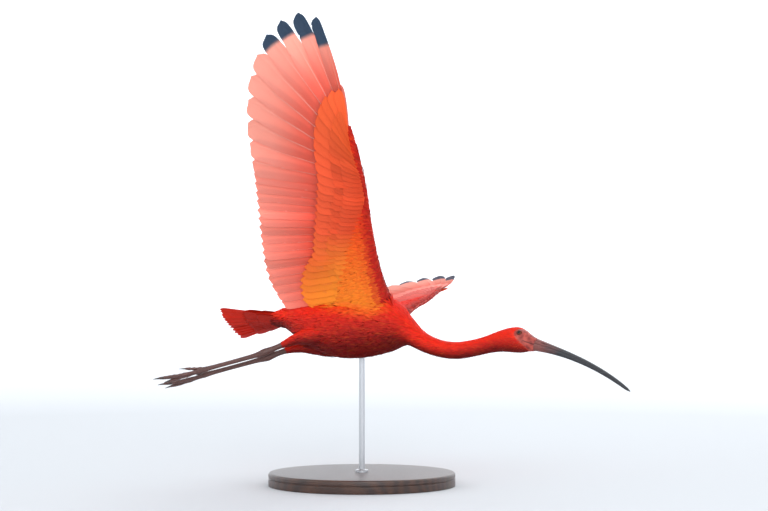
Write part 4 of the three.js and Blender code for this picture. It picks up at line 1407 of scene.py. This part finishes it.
def vane_faces(count, stations, columns, flip=False):
    """Quads and end triangles for points laid out as vane_points gives them."""
    width = 2 * columns - 2
    row = np.arange(columns)
    under = np.concatenate([[0], np.arange(columns, width), [columns - 1]])
    step = np.arange(stations - 1)[:, None] * width

    def strip(line):
        a, b = step + line[:-1], step + line[1:]
        return np.stack([a, b, b + width, a + width], -1).reshape(-1, 4)

    def cap(at):
        quads = np.stack([row[2:-1], row[1:-2], under[1:-2], under[2:-1]], -1)
        ends = np.array([[row[1], row[0], under[1]], [row[-1], row[-2], under[-2]]])
        turn = 1 if at == 0 else -1
        return quads[:, ::turn] + at, ends[:, ::turn] + at

    last = (stations - 1) * width
    root_cap, tip_cap = cap(0), cap(last)
    quads = np.concatenate([strip(row), strip(under)[:, ::-1], root_cap[0], tip_cap[0]])
    ends = np.concatenate([root_cap[1], tip_cap[1]])
    shift = (np.arange(count) * stations * width)[:, None, None]
    turn = -1 if flip else 1
    return [
        (quads[None, :, ::turn] + shift).reshape(-1, 4),
        (ends[None, :, ::turn] + shift).reshape(-1, 3),
    ]


def spread(values, stations, columns):
    """One value for each vane as one for each of its points."""
    return np.repeat(np.asarray(values, float), stations * (2 * columns - 2), 0)


BARB_PITCH, BARB_SLOPE = 1.3, 1.2


def plumage(name, deep, bright, pale, glow, sheen, clear):
    """Feather keratin in one mix of colours. Maps on the mesh set where it is bright, pale or
    black, and on the body's coat the brightness is partly painted light and shade. clear is
    the share of light that comes through the vane, and glow tints it."""
    material, tree, output = finish(name)
    maps = {
        key: add(tree, "ShaderNodeAttribute", attribute_name=key).outputs["Fac"]
        for key in ("tone", "light", "warm", "black")
    }
    # Barbs leave the shaft at about 40 degrees and are drawn coarse, 1.3 mm apart along it, so
    # that they show.
    vane = add(tree, "ShaderNodeUVMap", uv_map="vane")
    parts = add(tree, "ShaderNodeSeparateXYZ", {0: vane.outputs[0]})
    aside = add(tree, "ShaderNodeMath", {0: parts.outputs[0]}, operation="ABSOLUTE")
    run = add(
        tree,
        "ShaderNodeMath",
        {0: aside.outputs[0], 1: -BARB_SLOPE, 2: parts.outputs[1]},
        operation="MULTIPLY_ADD",
    )
    wander = add(tree, "ShaderNodeTexNoise", {"Vector": vane.outputs[0], "Scale": 0.35})
    strayed = add(
        tree,
        "ShaderNodeMath",
        {0: wander.outputs[0], 1: 1.6, 2: run.outputs[0]},
        operation="MULTIPLY_ADD",
    )
    phase = add(
        tree,
        "ShaderNodeMath",
        {0: strayed.outputs[0], 1: 2 * math.pi / BARB_PITCH},
        operation="MULTIPLY",
    )
    barbs = add(tree, "ShaderNodeMath", {0: phase.outputs[0]}, operation="SINE")
    base = add(
        tree,
        "ShaderNodeMix",
        {0: maps["light"], 6: linear(deep), 7: linear(bright)},
        data_type="RGBA",
    )
    warmed = add(
        tree,
        "ShaderNodeMix",
        {0: maps["warm"], 6: base.outputs[2], 7: linear(pale)},
        data_type="RGBA",
    )
    shade = add(
        tree,
        "ShaderNodeMapRange",
        {"Value": maps["tone"], "From Min": -1, "From Max": 1, "To Min": 0.72, "To Max": 1.18},
    )
    barb_shade = add(
        tree,
        "ShaderNodeMath",
        {0: barbs.outputs[0], 1: 0.05, 2: shade.outputs[0]},
        operation="MULTIPLY_ADD",
    )
    toned = add(
        tree,
        "ShaderNodeVectorMath",
        {0: warmed.outputs[2], 3: barb_shade.outputs[0]},
        operation="SCALE",
    )
    tipped = add(
        tree,
        "ShaderNodeMix",
        {0: maps["black"], 6: toned.outputs[0], 7: linear("#3A4858")},
        data_type="RGBA",
    )
    ridged = add(
        tree,
        "ShaderNodeBump",
        {"Strength": 0.3, "Distance": 0.0002, "Height": barbs.outputs[0]},
    )
    surface = add(
        tree,
        "ShaderNodeBsdfPrincipled",
        {
            "Base Color": tipped.outputs[2],
            "Roughness": 0.58,
            "IOR": 1.55,
            "Specular IOR Level": 0.2,
            "Sheen Weight": sheen,
            "Sheen Roughness": 0.4,
            "Sheen Tint": linear(bright),
            "Normal": ridged.outputs[0],
        },
    )
    lit = add(
        tree, "ShaderNodeMix", {0: 0.5, 6: toned.outputs[0], 7: linear(glow)}, data_type="RGBA"
    )
    lit_tip = add(
        tree,
        "ShaderNodeMix",
        {0: maps["black"], 6: lit.outputs[2], 7: linear("#7890A8")},
        data_type="RGBA",
    )
    through = add(tree, "ShaderNodeBsdfTranslucent", {"Color": lit_tip.outputs[2]})
    both = add(
        tree, "ShaderNodeMixShader", {0: clear, 1: surface.outputs[0], 2: through.outputs[0]}
    )
    tree.links.new(both.outputs[0], output.inputs[0])
    return material


contour = plumage(
    "scarlet contour feathers", "#7C0608", "#F62206", "#FF8A1E", "#FF4A20", 0.1, 0.15
)

# A feather runs straight on where the skin turns away from it more sharply than this.
STEP_TURN_LIMIT = 0.05
# Each tuft has a small patch of the baked picture, at its root's place.
PATCH = 0.003


def lie_line(at, index, length, stations, tip_height):
    """The middle line of one feather over the skin, and the skin's normal along it."""
    normal, way = corner_normals[index], corner_lies[index]
    way = way - normal * way.dot(normal)
    way /= max(np.linalg.norm(way), 1e-6)
    turn = rng.normal(0, 0.1)
    way = way * math.cos(turn) + np.cross(normal, way) * math.sin(turn)
    here, line, normals = at.copy(), [], []
    step = length / (stations - 1)
    for station in range(stations):
        t = station / (stations - 1)
        line.append(here + normal * tip_height * (0.06 + 0.94 * math.sin(t * math.pi / 2) ** 1.3))
        normals.append(normal)
        moved = here + way * step
        spot, _, face, _ = guide.find_nearest(moved)
        if face is not None and corner_normals[face].dot(normal) > STEP_TURN_LIMIT:
            here = np.array(spot)
            normal = unit(normal + corner_normals[face])
            lie = corner_lies[face]
            way = way * 0.8 + lie * 0.2
        else:
            here = moved
        way = way - normal * way.dot(normal)
        way /= max(np.linalg.norm(way), 1e-6)
    return line, normals


def coat(name, chosen, columns, stations, unwrap):
    """A piece of coat from the chosen roots."""
    columns = np.array(columns, float)
    count = len(chosen)
    lines, overs = [], []
    varied = rng.normal(1, 0.1, (count, 3)).clip(0.75, 1.3)
    size = sizes[root_triangle[chosen]]
    length, half, height = (size[:, 1:] * varied).T
    for n, i in enumerate(chosen):
        line, normals = lie_line(root_at[i], root_triangle[i], length[n], stations, height[n])
        lines.append(line)
        overs.append(normals)
    middle, over = np.array(lines), unit(np.array(overs))
    along = unit(np.gradient(middle, axis=1))
    across = unit(np.cross(along, over))
    over = np.cross(across, along)
    t = np.linspace(0, 1, stations)
    width = smooth([[0, 0.5], [0.3, 0.9], [0.6, 1], [0.85, 0.68], [1, 0.12]])(t)[:, 0]
    widths = half[:, None] * width
    thick = mix(0.5, 0.2, t) * np.minimum(half / 2.4, 1)[:, None]
    ragged = rng.normal(0, 0.075, (count, 1, len(columns))) * (t[:, None] ** 3)
    rounded = -0.1 * columns**2 * t[:, None] ** 2
    tips = (ragged + rounded) * length[:, None, None]
    points = vane_points(
        middle, across, over, widths, widths, columns, thick, 0.22 * widths, tips
    )
    wide = 2 * len(columns) - 2
    column = np.concatenate([columns, columns[1:-1]])
    across_mm = (column * widths[..., None]).reshape(-1)
    along_mm = np.repeat(t[None] * length[:, None], wide).reshape(-1)
    spot = unwrap(root_at[chosen], root_triangle[chosen])
    patch = np.stack(
        [
            np.tile(column, count * stations) * (PATCH / 2),
            np.repeat(np.tile(t - 0.5, count), wide) * PATCH,
        ],
        -1,
    )
    tone = spread(rng.normal(0, 0.22, count).clip(-1, 1), stations, len(columns))
    root_shade = np.repeat(np.tile(-0.4 * (1 - t) ** 2, count), wide)
    # The brightness map carries painted light from above and painted shade below.
    light, warm = colours_of(root_at[chosen], root_triangle[chosen])
    return piece(
        name,
        to_scene(points.reshape(-1, 3)),
        vane_faces(count, stations, len(columns)),
        contour,
        uv={
            "vane": np.stack([across_mm, along_mm], -1),
            "OFBake": spread(spot, stations, len(columns)) + patch,
        },
        maps={
            "tone": (tone + root_shade).clip(-1, 1),
            "light": spread(light, stations, len(columns)),
            "warm": spread(warm, stations, len(columns)),
            "black": np.zeros(len(tone)),
        },
        sharp=60,
    )


PIT_ORANGE_TO = 130


def colours_of(at, triangle):
    """How bright and how orange the feathers rooted at each place are. The brightness holds
    painted light and shade: painted shade makes the coat dark crimson where it faces down, under
    the belly and neck, painted light makes it scarlet where it faces up, and painted shade darkens
    the arm's fore edge. The coat is orange under the wings and brightest in the wing pit."""
    normal = corner_normals[triangle]
    upward = normal[:, 2] * math.cos(ROLL) - normal[:, 1] * math.sin(ROLL)
    u, turn = corner_spots[triangle].T
    armed = np.clip(corner_weights[triangle, ARM_FORM] * 1.6, 0, 1)
    under_wing = armed / (1 + np.exp((normal[:, 2] - 0.1) * 9))
    fore_edge = on_arm[triangle] * np.exp(-(((np.cos(turn) - 1) / 0.3) ** 2))
    # Painted light and shade: lighter where the coat faces up in the scene, darker where it faces
    # down except under the wing, and painted shade along the arm's fore edge.
    light = 0.47 + 0.8 * upward * (1 - under_wing) + 0.5 * under_wing - 0.5 * fore_edge
    # The neck is a little brighter than the body, from its root on.
    light = light + 0.12 * np.clip((at[:, 0] - 10) / 40, 0, 1)
    # The orange of the wing pit fades out along the arm.
    out = np.where(on_arm[triangle], u, 0)
    warm = under_wing * (1 - 0.9 * np.clip(out / PIT_ORANGE_TO, 0, 1)) * (1 - fore_edge)
    light = light + rng.normal(0, 0.06, len(at))
    warm = warm + rng.normal(0, 0.04, len(at))
    return light.clip(0, 1), warm.clip(0, 1)


# The share of the baked picture that an unwrap fills, and the margin left round it.
FILLED, MARGIN = 0.96, 0.02


def unwrap_body(at, triangle):
    """Each root's place on an unwrap of the body, round it and along it."""
    turn = np.arctan2(at[:, 2] - skin_at(at[:, 0])[:, 0], at[:, 1])
    along = (at[:, 0] + 180) / 370
    return np.stack([0.5 + turn / (2 * np.pi) * FILLED, MARGIN + along * FILLED], -1)


def unwrap_arm(at, triangle):
    """Each root's place on an unwrap of the arm, round it and out along it."""
    u, turn = corner_spots[triangle].T
    along = (u + 6) / 260
    return np.stack([MARGIN + turn / (2 * np.pi) * FILLED, MARGIN + along * FILLED], -1)


FINE = [-1, 0, 1]
# The pieces of coat meet here: neck and head along x, back and belly at a height.
NECK_FROM, HEAD_FROM, BELLY_BELOW = 6, 122, -5
form = corner_form[root_triangle]
root_x, root_y, root_z = root_at.T
trunk = (form == BODY) & (root_x < NECK_FROM)
back_roots = np.flatnonzero(trunk & (root_z >= BELLY_BELOW))
belly_roots = np.flatnonzero(trunk & (root_z < BELLY_BELOW))
neck_roots = np.flatnonzero((form == BODY) & (root_x >= NECK_FROM) & (root_x < HEAD_FROM))
head_roots = np.flatnonzero((form == BODY) & (root_x >= HEAD_FROM))
thigh_roots = np.flatnonzero(form == THIGH)
right_roots = np.flatnonzero((form == ARM_FORM) & (root_y < 0))
left_roots = np.flatnonzero((form == ARM_FORM) & (root_y >= 0))
coats = [
    coat("feathers_back", back_roots, FINE, 6, unwrap_body),
    coat("feathers_belly", belly_roots, FINE, 6, unwrap_body),
    coat("feathers_neck", neck_roots, FINE, 5, unwrap_body),
    coat("feathers_head", head_roots, FINE, 4, unwrap_body),
    coat("feathers_thighs", thigh_roots, FINE, 5, unwrap_body),
    coat("feathers_arm_right", right_roots, FINE, 6, unwrap_arm),
    coat("feathers_arm_left", left_roots, FINE, 6, unwrap_arm),
]
for made in coats:
    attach(made, "root")

# ---- Wing feathers
# Each wing carries ten primaries, thirteen secondaries and three tertials, with tiers of
# coverts over and under their roots. They are stiff keratin vanes on raised shafts.

# Quill number from the body out, then span and chord of its root and of its tip.
QUILLS = smooth(
    [
        [-1, 8, -42, -6, -130],
        [0, 19, -44, 5, -137],
        [3, 54, -46, 40, -151],
        [6, 82, -42, 77, -154],
        [9, 108, -34, 114, -153],
        [12, 134, -25, 151, -151],
        [15, 160, -16, 190, -149],
        [16, 170, -14, 207, -148],
        [18, 187, -14, 262, -145],
        [20, 203, -15, 325, -131],
        [22, 220, -15, 379, -102],
        [23, 228, -15, 396, -81],
        [24, 236, -14, 404, -57],
        [25, 243, -13, 398, -34],
        [26, 249, -11, 385, -13],
    ]
)
REMEX_COUNT = 26
FIRST_PRIMARY = 16
FIRST_FINGER = 22
PRIMARY_BOW = 4.5


def quill(number, t):
    """Places along quills as [u, v], t from root to tip."""
    u0, v0, u1, v1 = np.moveaxis(QUILLS(number), -1, 0)
    bow = PRIMARY_BOW * np.clip((number - FIRST_PRIMARY) / 6, 0, 1) * 4 * t * (1 - t)
    run = np.hypot(u1 - u0, v1 - v0)
    return np.stack(
        [mix(u0, u1, t) + bow * (v0 - v1) / run, mix(v0, v1, t) + bow * (u1 - u0) / run], -1
    )


def quill_spacing(number, t, step):
    """How far apart neighbouring quills lie, square to their run."""
    way = unit(quill(number, t + 0.01) - quill(number, t))
    crossing = quill(number + step / 2, t) - quill(number - step / 2, t)
    return np.abs(crossing[..., 0] * way[..., 1] - crossing[..., 1] * way[..., 0])


FORE_CLEARANCE = 5


def vane_batch(side, number, t, middle, across, ahead, behind, columns, thick, tips):
    """Points, faces and maps of wing vanes whose middle lines run out, forward and up."""
    columns = np.array(columns, float)
    count, stations = ahead.shape
    over = np.zeros_like(middle) + [0, 0, 1]
    sag = 0.05 * (ahead + behind)
    points = vane_points(middle, across, over, behind, ahead, columns, thick, sag, tips)
    placed = wing_point(side, *np.moveaxis(points, -1, 0))
    column = np.concatenate([columns, columns[1:-1]])
    reach = np.where(column > 0, behind[..., None], ahead[..., None]) * column
    length = np.linalg.norm(middle[:, -1] - middle[:, 0], axis=-1)
    wide = len(column)
    maps = {
        "number": np.repeat(number, stations * wide),
        "t": np.tile(np.repeat(t, wide), count),
        "across": reach.ravel(),
        "column": np.tile(column, count * stations),
        "along": (t[None, :, None] * length[:, None, None] + 0 * reach).ravel(),
        "top": np.tile(np.repeat([1, 0], [len(columns), wide - len(columns)]), count * stations),
        "index": np.repeat(np.arange(count), stations * wide),
    }
    return placed.reshape(-1, 3), vane_faces(count, stations, len(columns), side == LEFT), maps


def wing_vanes(
    side, numbers, start, end, heights, outline, columns, stations, widths, step=1.0, rise=1.0
):
    """Vanes along quills of one wing. start and end are shares of the quill's length. widths are
    shares of the quills' spacing ahead of the shaft and behind it, then the most of each."""
    count = len(numbers)
    long = np.ndim(end) == 0 and end == 1
    end = np.asarray(end, float).reshape(-1, 1)
    t = 1 - (1 - np.linspace(0, 1, stations)) ** 1.5
    number = np.asarray(numbers, float)[:, None] + 0 * t
    # No vane starts closer to the fore edge than a few millimetres.
    u0, v0, _, v1 = np.moveaxis(QUILLS(number), -1, 0)
    start = np.maximum(start, (arm_at(u0)[..., 0] - FORE_CLEARANCE - v0) / (v1 - v0))
    along = mix(start, end, t)
    flat = quill(number, along)
    way = unit(quill(number, along + 0.01) - flat)
    room = quill_spacing(number, along, step)
    shape = smooth(outline)(t)[:, 0]
    ahead = np.minimum(widths[0] * room, widths[2]) * shape
    behind = np.minimum(widths[1] * room, widths[3]) * shape
    finger = np.clip((number - FIRST_FINGER + 1) / 2, 0, 1) * np.clip((t - 0.5) / 0.35, 0, 1)
    narrow = 1 - 0.36 * finger * long
    ahead, behind = ahead * narrow, behind * narrow
    last = number == REMEX_COUNT - 1
    ahead = np.where(last & long, ahead * 0.55, ahead)
    height = mix(*heights, np.minimum(1, 1.6 * t))[None] + 0 * number
    middle = np.concatenate([flat, height[..., None]], -1)
    # Each vane's rear edge lies under the next vane's fore edge.
    across = np.stack([way[..., 1], -way[..., 0], -rise / room], -1)
    notch = 1 - 0.1 * (rng.random((count, stations)) < 0.03) * (t > 0.3)
    flutter = 1 + rng.normal(0, 0.006, (count, stations))
    thick = (mix(1, 0.4, t)[None] + 0 * number) * (1.5 if long else 0.9)
    column = np.array(columns, float)
    tips = rng.normal(0, 0.3, (count, 1, len(column))) * (t[:, None] ** 8)
    tips = tips - 2.4 * column**2 * t[:, None] ** 10
    ahead, behind = ahead * flutter, behind * notch * flutter
    return vane_batch(
        side, number[:, 0], t, middle, across, ahead, behind, columns, thick, tips
    )


# The three feathers of the thumb, from root to tip, and their half widths.
ALULA = [
    ([177, -10, 3.6], [205, -20, 5.2], 4.8),
    ([173, -7, 3.8], [215, -14.5, 5.6], 4.8),
    ([170, -4.5, 4], [224, -10, 6], 4.2),
]


def alula_vanes(side, stations):
    """The thumb's feathers of one wing, over the coverts."""
    t = 1 - (1 - np.linspace(0, 1, stations)) ** 1.5
    root, tip, half = (np.array(part, float) for part in zip(*ALULA))
    middle = mix(root[:, None], tip[:, None], t[:, None])
    way = unit((tip - root)[:, None, :2]) + 0 * middle[..., :2]
    across = np.stack([way[..., 1], -way[..., 0], 0 * way[..., 0]], -1)
    width = half[:, None] * smooth(COVERT_VANE)(t)[:, 0]
    thick = 0 * width + mix(1.1, 0.5, t)
    tips = -1.6 * np.array(SHAFTED) ** 2 * t[:, None] ** 10 + np.zeros((len(half), 1, 1))
    number = np.full(len(half), 5.0)
    return vane_batch(side, number, t, middle, across, 0.7 * width, width, SHAFTED, thick, tips)


# Outlines as shares of the length and of the width, then columns of points across a vane.
BROAD_VANE = [
    [0, 0.3],
    [0.06, 0.9],
    [0.45, 1],
    [0.88, 1],
    [0.94, 0.94],
    [0.972, 0.8],
    [0.99, 0.57],
    [1, 0.2],
]
COVERT_VANE = [[0, 0.6], [0.3, 0.95], [0.7, 1], [0.84, 0.9], [0.94, 0.62], [1, 0.15]]
SHAFTED = [-1, -0.8, -0.5, -0.14, 0, 0.08, 0.35, 0.7, 0.9, 1]
PLAIN = [-1, -0.75, -0.12, 0, 0.12, 0.75, 1]


flight = plumage(
    "orange-scarlet flight feathers", "#D02A14", "#F4583A", "#FFC0AE", "#FFA48C", 0.1, 0.45
)
upper_coverts = plumage(
    "scarlet wing coverts", "#C81A0A", "#EE3C22", "#FFB4A2", "#FF7A5A", 0.1, 0.12
)
lining = plumage(
    "orange under-wing coverts", "#E03A08", "#F86238", "#FF9A24", "#FF8A50", 0.1, 0.25
)


# No batch has more vanes than this.
BATCH_LIMIT = 64
# Neighbouring vanes differ in tone, as older and newer feathers do.
TONE_SPREAD, TONE_LIMIT = 0.3, 0.8


def feather_piece(name, batches, material, shade):
    """Batches of vanes as one piece, each vane with its own strip of the baked picture."""
    for number, batch in enumerate(batches):
        batch[2]["batch"] = np.full(len(batch[0]), number)
    points, faces, maps = joined(batches)
    total = maps["batch"] * BATCH_LIMIT + maps["index"]
    _, slot_of = np.unique(total, return_inverse=True)
    cells = slot_of.max() + 1
    across_share = (slot_of + 0.5 + 0.45 * maps["column"]) / cells
    along_share = 0.01 + 0.48 * maps["t"] + 0.5 * maps["top"]
    vary = rng.normal(0, TONE_SPREAD, cells).clip(-TONE_LIMIT, TONE_LIMIT)[slot_of]
    tone, light, warm, black = shade(maps)
    return piece(
        name,
        to_scene(points),
        faces,
        material,
        uv={
            "vane": np.stack([maps["across"], maps["along"]], -1),
            "OFBake": np.stack([across_share, along_share], -1),
        },
        maps={
            "tone": (tone + vary).clip(-1, 1),
            "light": light,
            "warm": warm,
            "black": black,
        },
        sharp=50,
    )


def shaft_of(maps):
    """Which points lie on the shaft."""
    return np.abs(maps["column"]) < 0.02


# The outer quills, and the share of the length from which each is blue-black.
TIPPED_QUILLS, TIP_DARK_FROM = [21, 22, 23, 24, 25], [1.2, 0.9, 0.86, 0.8, 0.74]
TIP_EDGE = 0.03


def remex_shade(maps):
    """Colours of the flight feathers: scarlet near the body, paler outward and towards the
    trailing edge, and the outer primaries tipped blue-black."""
    number, t = maps["number"], maps["t"]
    rear = np.clip((t - 0.4) / 0.55, 0, 1)
    primary = np.clip((number - 15) / 3, 0, 1)
    warm = 0.02 + 0.2 * np.clip(number / REMEX_COUNT, 0, 1) + 0.6 * rear
    warm = warm + primary * 0.25 * np.clip((t - 0.5) / 0.25, 0, 1)
    shaft = shaft_of(maps)
    tone = np.where(maps["top"] == 1, -0.7, 0) * shaft
    warm = np.where(shaft & (maps["top"] == 0), 0.95, warm)
    dark_from = np.interp(number, TIPPED_QUILLS, TIP_DARK_FROM)
    black = np.clip((t - dark_from) / TIP_EDGE, 0, 1)
    return tone, 0.55 + 0.45 * t, warm.clip(0, 1), black


def upper_shade(maps):
    """Colours over the wing: scarlet near the body and the fore edge, paler outward."""
    outward = np.clip(maps["number"] / REMEX_COUNT, 0, 1)
    front = np.where(maps["batch"] == 0, 0, 1)
    shaft = shaft_of(maps)
    light = 0.35 + 0.3 * maps["t"] + 0.3 * outward - 0.35 * front
    warm = (0.02 + 0.62 * outward**1.5) * (1 - 0.6 * front)
    return -0.3 * shaft, light.clip(0, 1), warm, 0 * light


def lining_shade(maps):
    """Colours under the wing: orange near the body, scarlet-orange outward."""
    number, t, first = maps["number"], maps["t"], maps["batch"] == 0
    light = np.where(first, 0.6 + 0.4 * t, 0.3 + 0.45 * t)
    warm = 0.95 - 1.05 * np.clip(number / 10, 0, 1) + 0.2 * np.clip((number - 12) / 10, 0, 1)
    warm = warm * np.where(first, 0.8, 1) - 0.25 * (maps["batch"] == AXILLARY_BATCH) * t
    shaft = shaft_of(maps)
    return -0.3 * shaft, light.clip(0, 1), warm.clip(0, 1), 0 * light


# Number of vanes, first and last quill, start and end as shares of it, and heights over the
# quills at root and tip. Each row is one batch.
UPPER_TIERS = [
    (26, 0, 25, 0, 0.42, (2.2, 2.8)),
    (30, 0.3, 24.6, -0.09, 0.25, (3.4, 3.9)),
    (32, 0.5, 20, -0.16, 0.14, (4.4, 4.9)),
]
AXILLARY_ENDS = np.array([0.66, 0.68, 0.67, 0.64, 0.6, 0.55, 0.5, 0.45, 0.4])
AXILLARY_BATCH = 3
LOWER_TIERS = [
    (26, 0.2, 25, 0, 0.38, (-2.3, -2.9)),
    (28, 0.5, 24, -0.06, 0.22, (-3.4, -3.9)),
    (28, 0.8, 19, -0.12, 0.12, (-4.3, -4.6)),
    # Axillaries, the long feathers of the wing pit, shorter outward.
    (9, -0.8, 5.2, 0.02, AXILLARY_ENDS, (-4.4, -3.2)),
]

# Outline, columns, stations and widths of the flight feathers and of the coverts.
REMIGES = (BROAD_VANE, SHAFTED, 64, (0.55, 0.95, 10.5, 20))
COVERTS = (COVERT_VANE, PLAIN, 20, (0.62, 1.1, 9, 12))


def covert_tiers(side, tiers, rise):
    """Batches of coverts, one for each tier."""
    return [
        wing_vanes(
            side,
            np.linspace(first, last, count),
            start,
            end,
            heights,
            *COVERTS,
            step=(last - first) / (count - 1),
            rise=rise,
        )
        for count, first, last, start, end, heights in tiers
    ]


for side, side_name in ((RIGHT, "right"), (LEFT, "left")):
    remiges = [wing_vanes(side, np.arange(REMEX_COUNT), 0, 1, (0, 0), *REMIGES)]
    above = [*covert_tiers(side, UPPER_TIERS, 1), alula_vanes(side, 24)]
    below = covert_tiers(side, LOWER_TIERS, 0.8)
    wing = feather_piece("feathers_wing_" + side_name, remiges, flight, remex_shade)
    over = feather_piece("feathers_coverts_" + side_name, above, upper_coverts, upper_shade)
    under = feather_piece("feathers_lining_" + side_name, below, lining, lining_shade)
    for made in (wing, over, under):
        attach(made, "root")
    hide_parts("wing_inner_" + side_name, "wing_outer_" + side_name)

# ---- Tail
# Twelve tail feathers spread in a short fan, with coverts over and under their roots.

FAN_HALF, FAN_ROOT_HALF, FAN_ROUNDING, FAN_START, TAIL_LENGTH = 50, 11, 7, 12, 93
# Shares of the spacing that a vane takes up inward and outward of its shaft.
TAIL_WIDTHS, TAIL_COVERT_WIDTHS = (0.55, 0.95), (0.95, 1.5)


def fan_line(place, t):
    """Across and back along a tail feather. place runs from 0 at the middle to 1 at the side."""
    length = TAIL_LENGTH - FAN_START - FAN_ROUNDING * place**2
    return np.stack([place * mix(FAN_ROOT_HALF, FAN_HALF, t), FAN_START + length * t], -1)


def fan_vanes(side, count, start, end, heights, outline, columns, stations, long):
    """One side of the tail's fan or of a tier of its coverts. long is for the fan itself."""
    columns = np.array(columns, float)
    step = 1 / (count + 0.4)
    t = np.linspace(0, 1, stations)
    place = ((np.arange(count) + 0.5) * step)[:, None] + 0 * t
    along = mix(start, end, t)[None] + 0 * place
    flat = fan_line(place, along)
    way = unit(fan_line(place, along + 0.01) - flat)
    room = step * mix(FAN_ROOT_HALF, FAN_HALF, along)
    shape = smooth(outline)(t)[:, 0]
    widths = TAIL_WIDTHS if long else TAIL_COVERT_WIDTHS
    ahead, behind = (share * room * shape for share in widths)
    height = mix(*heights, t)[None] + 0 * place
    middle = np.concatenate([flat, height[..., None]], -1)
    # In this flat frame the second axis runs back, so outward is plus.
    across = np.stack([way[..., 1], -way[..., 0], (1 if long else 0.3) / room], -1)
    over = np.zeros_like(middle) + [0, 0, 1]
    thick = (mix(1.3, 0.5, t) if long else mix(0.8, 0.4, t))[None] + 0 * place
    ragged = rng.normal(0, 0.8, (count, 1, len(columns))) * (t[:, None] ** 8)
    rounded = -2.5 * columns**2 * t[:, None] ** 10
    sag = 0.05 * (ahead + behind)
    points = vane_points(
        middle, across, over, ahead, behind, columns, thick, sag, ragged + rounded
    )
    a, b, w = np.moveaxis(points, -1, 0)
    placed = tail_point(b, side * a, w)
    column = np.concatenate([columns, columns[1:-1]])
    reach = np.where(column > 0, ahead[..., None], behind[..., None]) * column
    wide = len(column)
    length = (end - start) * TAIL_LENGTH
    maps = {
        "number": np.repeat(place[:, 0], stations * wide),
        "t": np.tile(np.repeat(t, wide), count),
        "across": reach.ravel(),
        "column": np.tile(column, count * stations),
        "along": (t[None, :, None] * length + 0 * reach).ravel(),
        "top": np.tile(np.repeat([1, 0], [len(columns), wide - len(columns)]), count * stations),
        "index": np.repeat(np.arange(count), stations * wide),
    }
    return placed.reshape(-1, 3), vane_faces(count, stations, len(columns), side == RIGHT), maps


# Vanes on each side, start and end, heights at root and tip, outline, columns and stations.
TAIL_TIERS = [
    (6, 0, 1, (0, 0), BROAD_VANE, SHAFTED, 48, True),
    (6, -0.04, 0.58, (2.4, 2.2), COVERT_VANE, PLAIN, 20, False),
    (6, -0.1, 0.34, (4, 3.6), COVERT_VANE, PLAIN, 16, False),
    (6, 0, 0.64, (-2.4, -2.2), COVERT_VANE, PLAIN, 20, False),
    (6, -0.08, 0.42, (-4, -3.6), COVERT_VANE, PLAIN, 16, False),
]


def tail_shade(maps):
    """Colours of the tail: scarlet, with its coverts a little deeper."""
    shaft = shaft_of(maps)
    tail = maps["batch"] < 2
    light = np.where(tail, 0.6 + 0.3 * maps["t"], 0.55)
    return -0.5 * shaft, light, 0 * light + 0.02, 0 * light


batches = [fan_vanes(side, *tier) for tier in TAIL_TIERS for side in (RIGHT, LEFT)]
tail = feather_piece("feathers_tail", batches, contour, tail_shade)
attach(tail, "root")
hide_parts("tail")

# ---- Stage and light
# A plain pale floor that curves up into a wall all round, under broad soft light.

pale, tree, output = finish("pale studio paint")
# Matt emulsion with painted light, darker near the bird against the lamps' pool of light and
# lighter away from it, where it glows faintly like a light box, so that floor and wall look alike.
place = add(tree, "ShaderNodeTexCoord").outputs["Object"]
away = add(tree, "ShaderNodeVectorMath", {0: place}, operation="LENGTH")
farther = add(
    tree, "ShaderNodeMapRange", {"Value": away.outputs["Value"], "From Min": 1.5, "From Max": 6}
)
glowing = add(
    tree, "ShaderNodeMath", {0: farther.outputs[0], 1: 0.34}, operation="MULTIPLY"
)
# Painted light: the paint is darker where the lamps light it most.
paint_with_painted_light = add(
    tree,
    "ShaderNodeMix",
    {0: farther.outputs[0], 6: linear("#C8CBCE"), 7: linear("#F8FAFC")},
    data_type="RGBA",
)
shader = add(
    tree,
    "ShaderNodeBsdfPrincipled",
    {
        "Base Color": paint_with_painted_light.outputs[2],
        "Roughness": 0.9,
        "Emission Color": linear("#F8FBFF"),
        "Emission Strength": glowing.outputs[0],
    },
)
tree.links.new(shader.outputs[0], output.inputs[0])
FLOOR_FLAT, FLOOR_CURVE, WALL_TOP = 5, 3, 5
FLOOR_SIDES, CURVE_RINGS = 96, 24
curve = [
    (FLOOR_FLAT + FLOOR_CURVE * math.sin(a), FLOOR_CURVE * (1 - math.cos(a)))
    for a in np.linspace(0, math.pi / 2, CURVE_RINGS)
]
profile = [(0.001, 0), (1, 0), *curve, (FLOOR_FLAT + FLOOR_CURVE, WALL_TOP)]
floor_points = np.array(
    [
        [radius * math.cos(a), radius * math.sin(a), height]
        for radius, height in profile
        for a in full_turn(FLOOR_SIDES)
    ]
)
floor = piece("studio_floor", floor_points, [grid_faces(len(profile), FLOOR_SIDES)], pale)

world = bpy.data.worlds.new("studio")
world.use_nodes = True
world.node_tree.nodes["Background"].inputs["Color"].default_value = linear("#F7FAFE")
world.node_tree.nodes["Background"].inputs["Strength"].default_value = 1.05
bpy.context.scene.world = world
bpy.context.scene.view_settings.view_transform = "Standard"


def softbox(name, at, size, watts):
    """A broad square light that faces the middle of the bird."""
    lamp = bpy.data.lights.new(name, "AREA")
    lamp.size, lamp.energy = size, watts
    made = bpy.data.objects.new(name, lamp)
    made.location = at
    made.rotation_mode = "QUATERNION"
    made.rotation_quaternion = (Vector(at) - camera_aim).to_track_quat("Z", "Y")
    bpy.context.scene.collection.objects.link(made)


softbox("softbox_behind", (0.2, 2.6, 2.8), 2, 38)
softbox("softbox_front", (1.6, -3.4, 1.8), 1.8, 52)
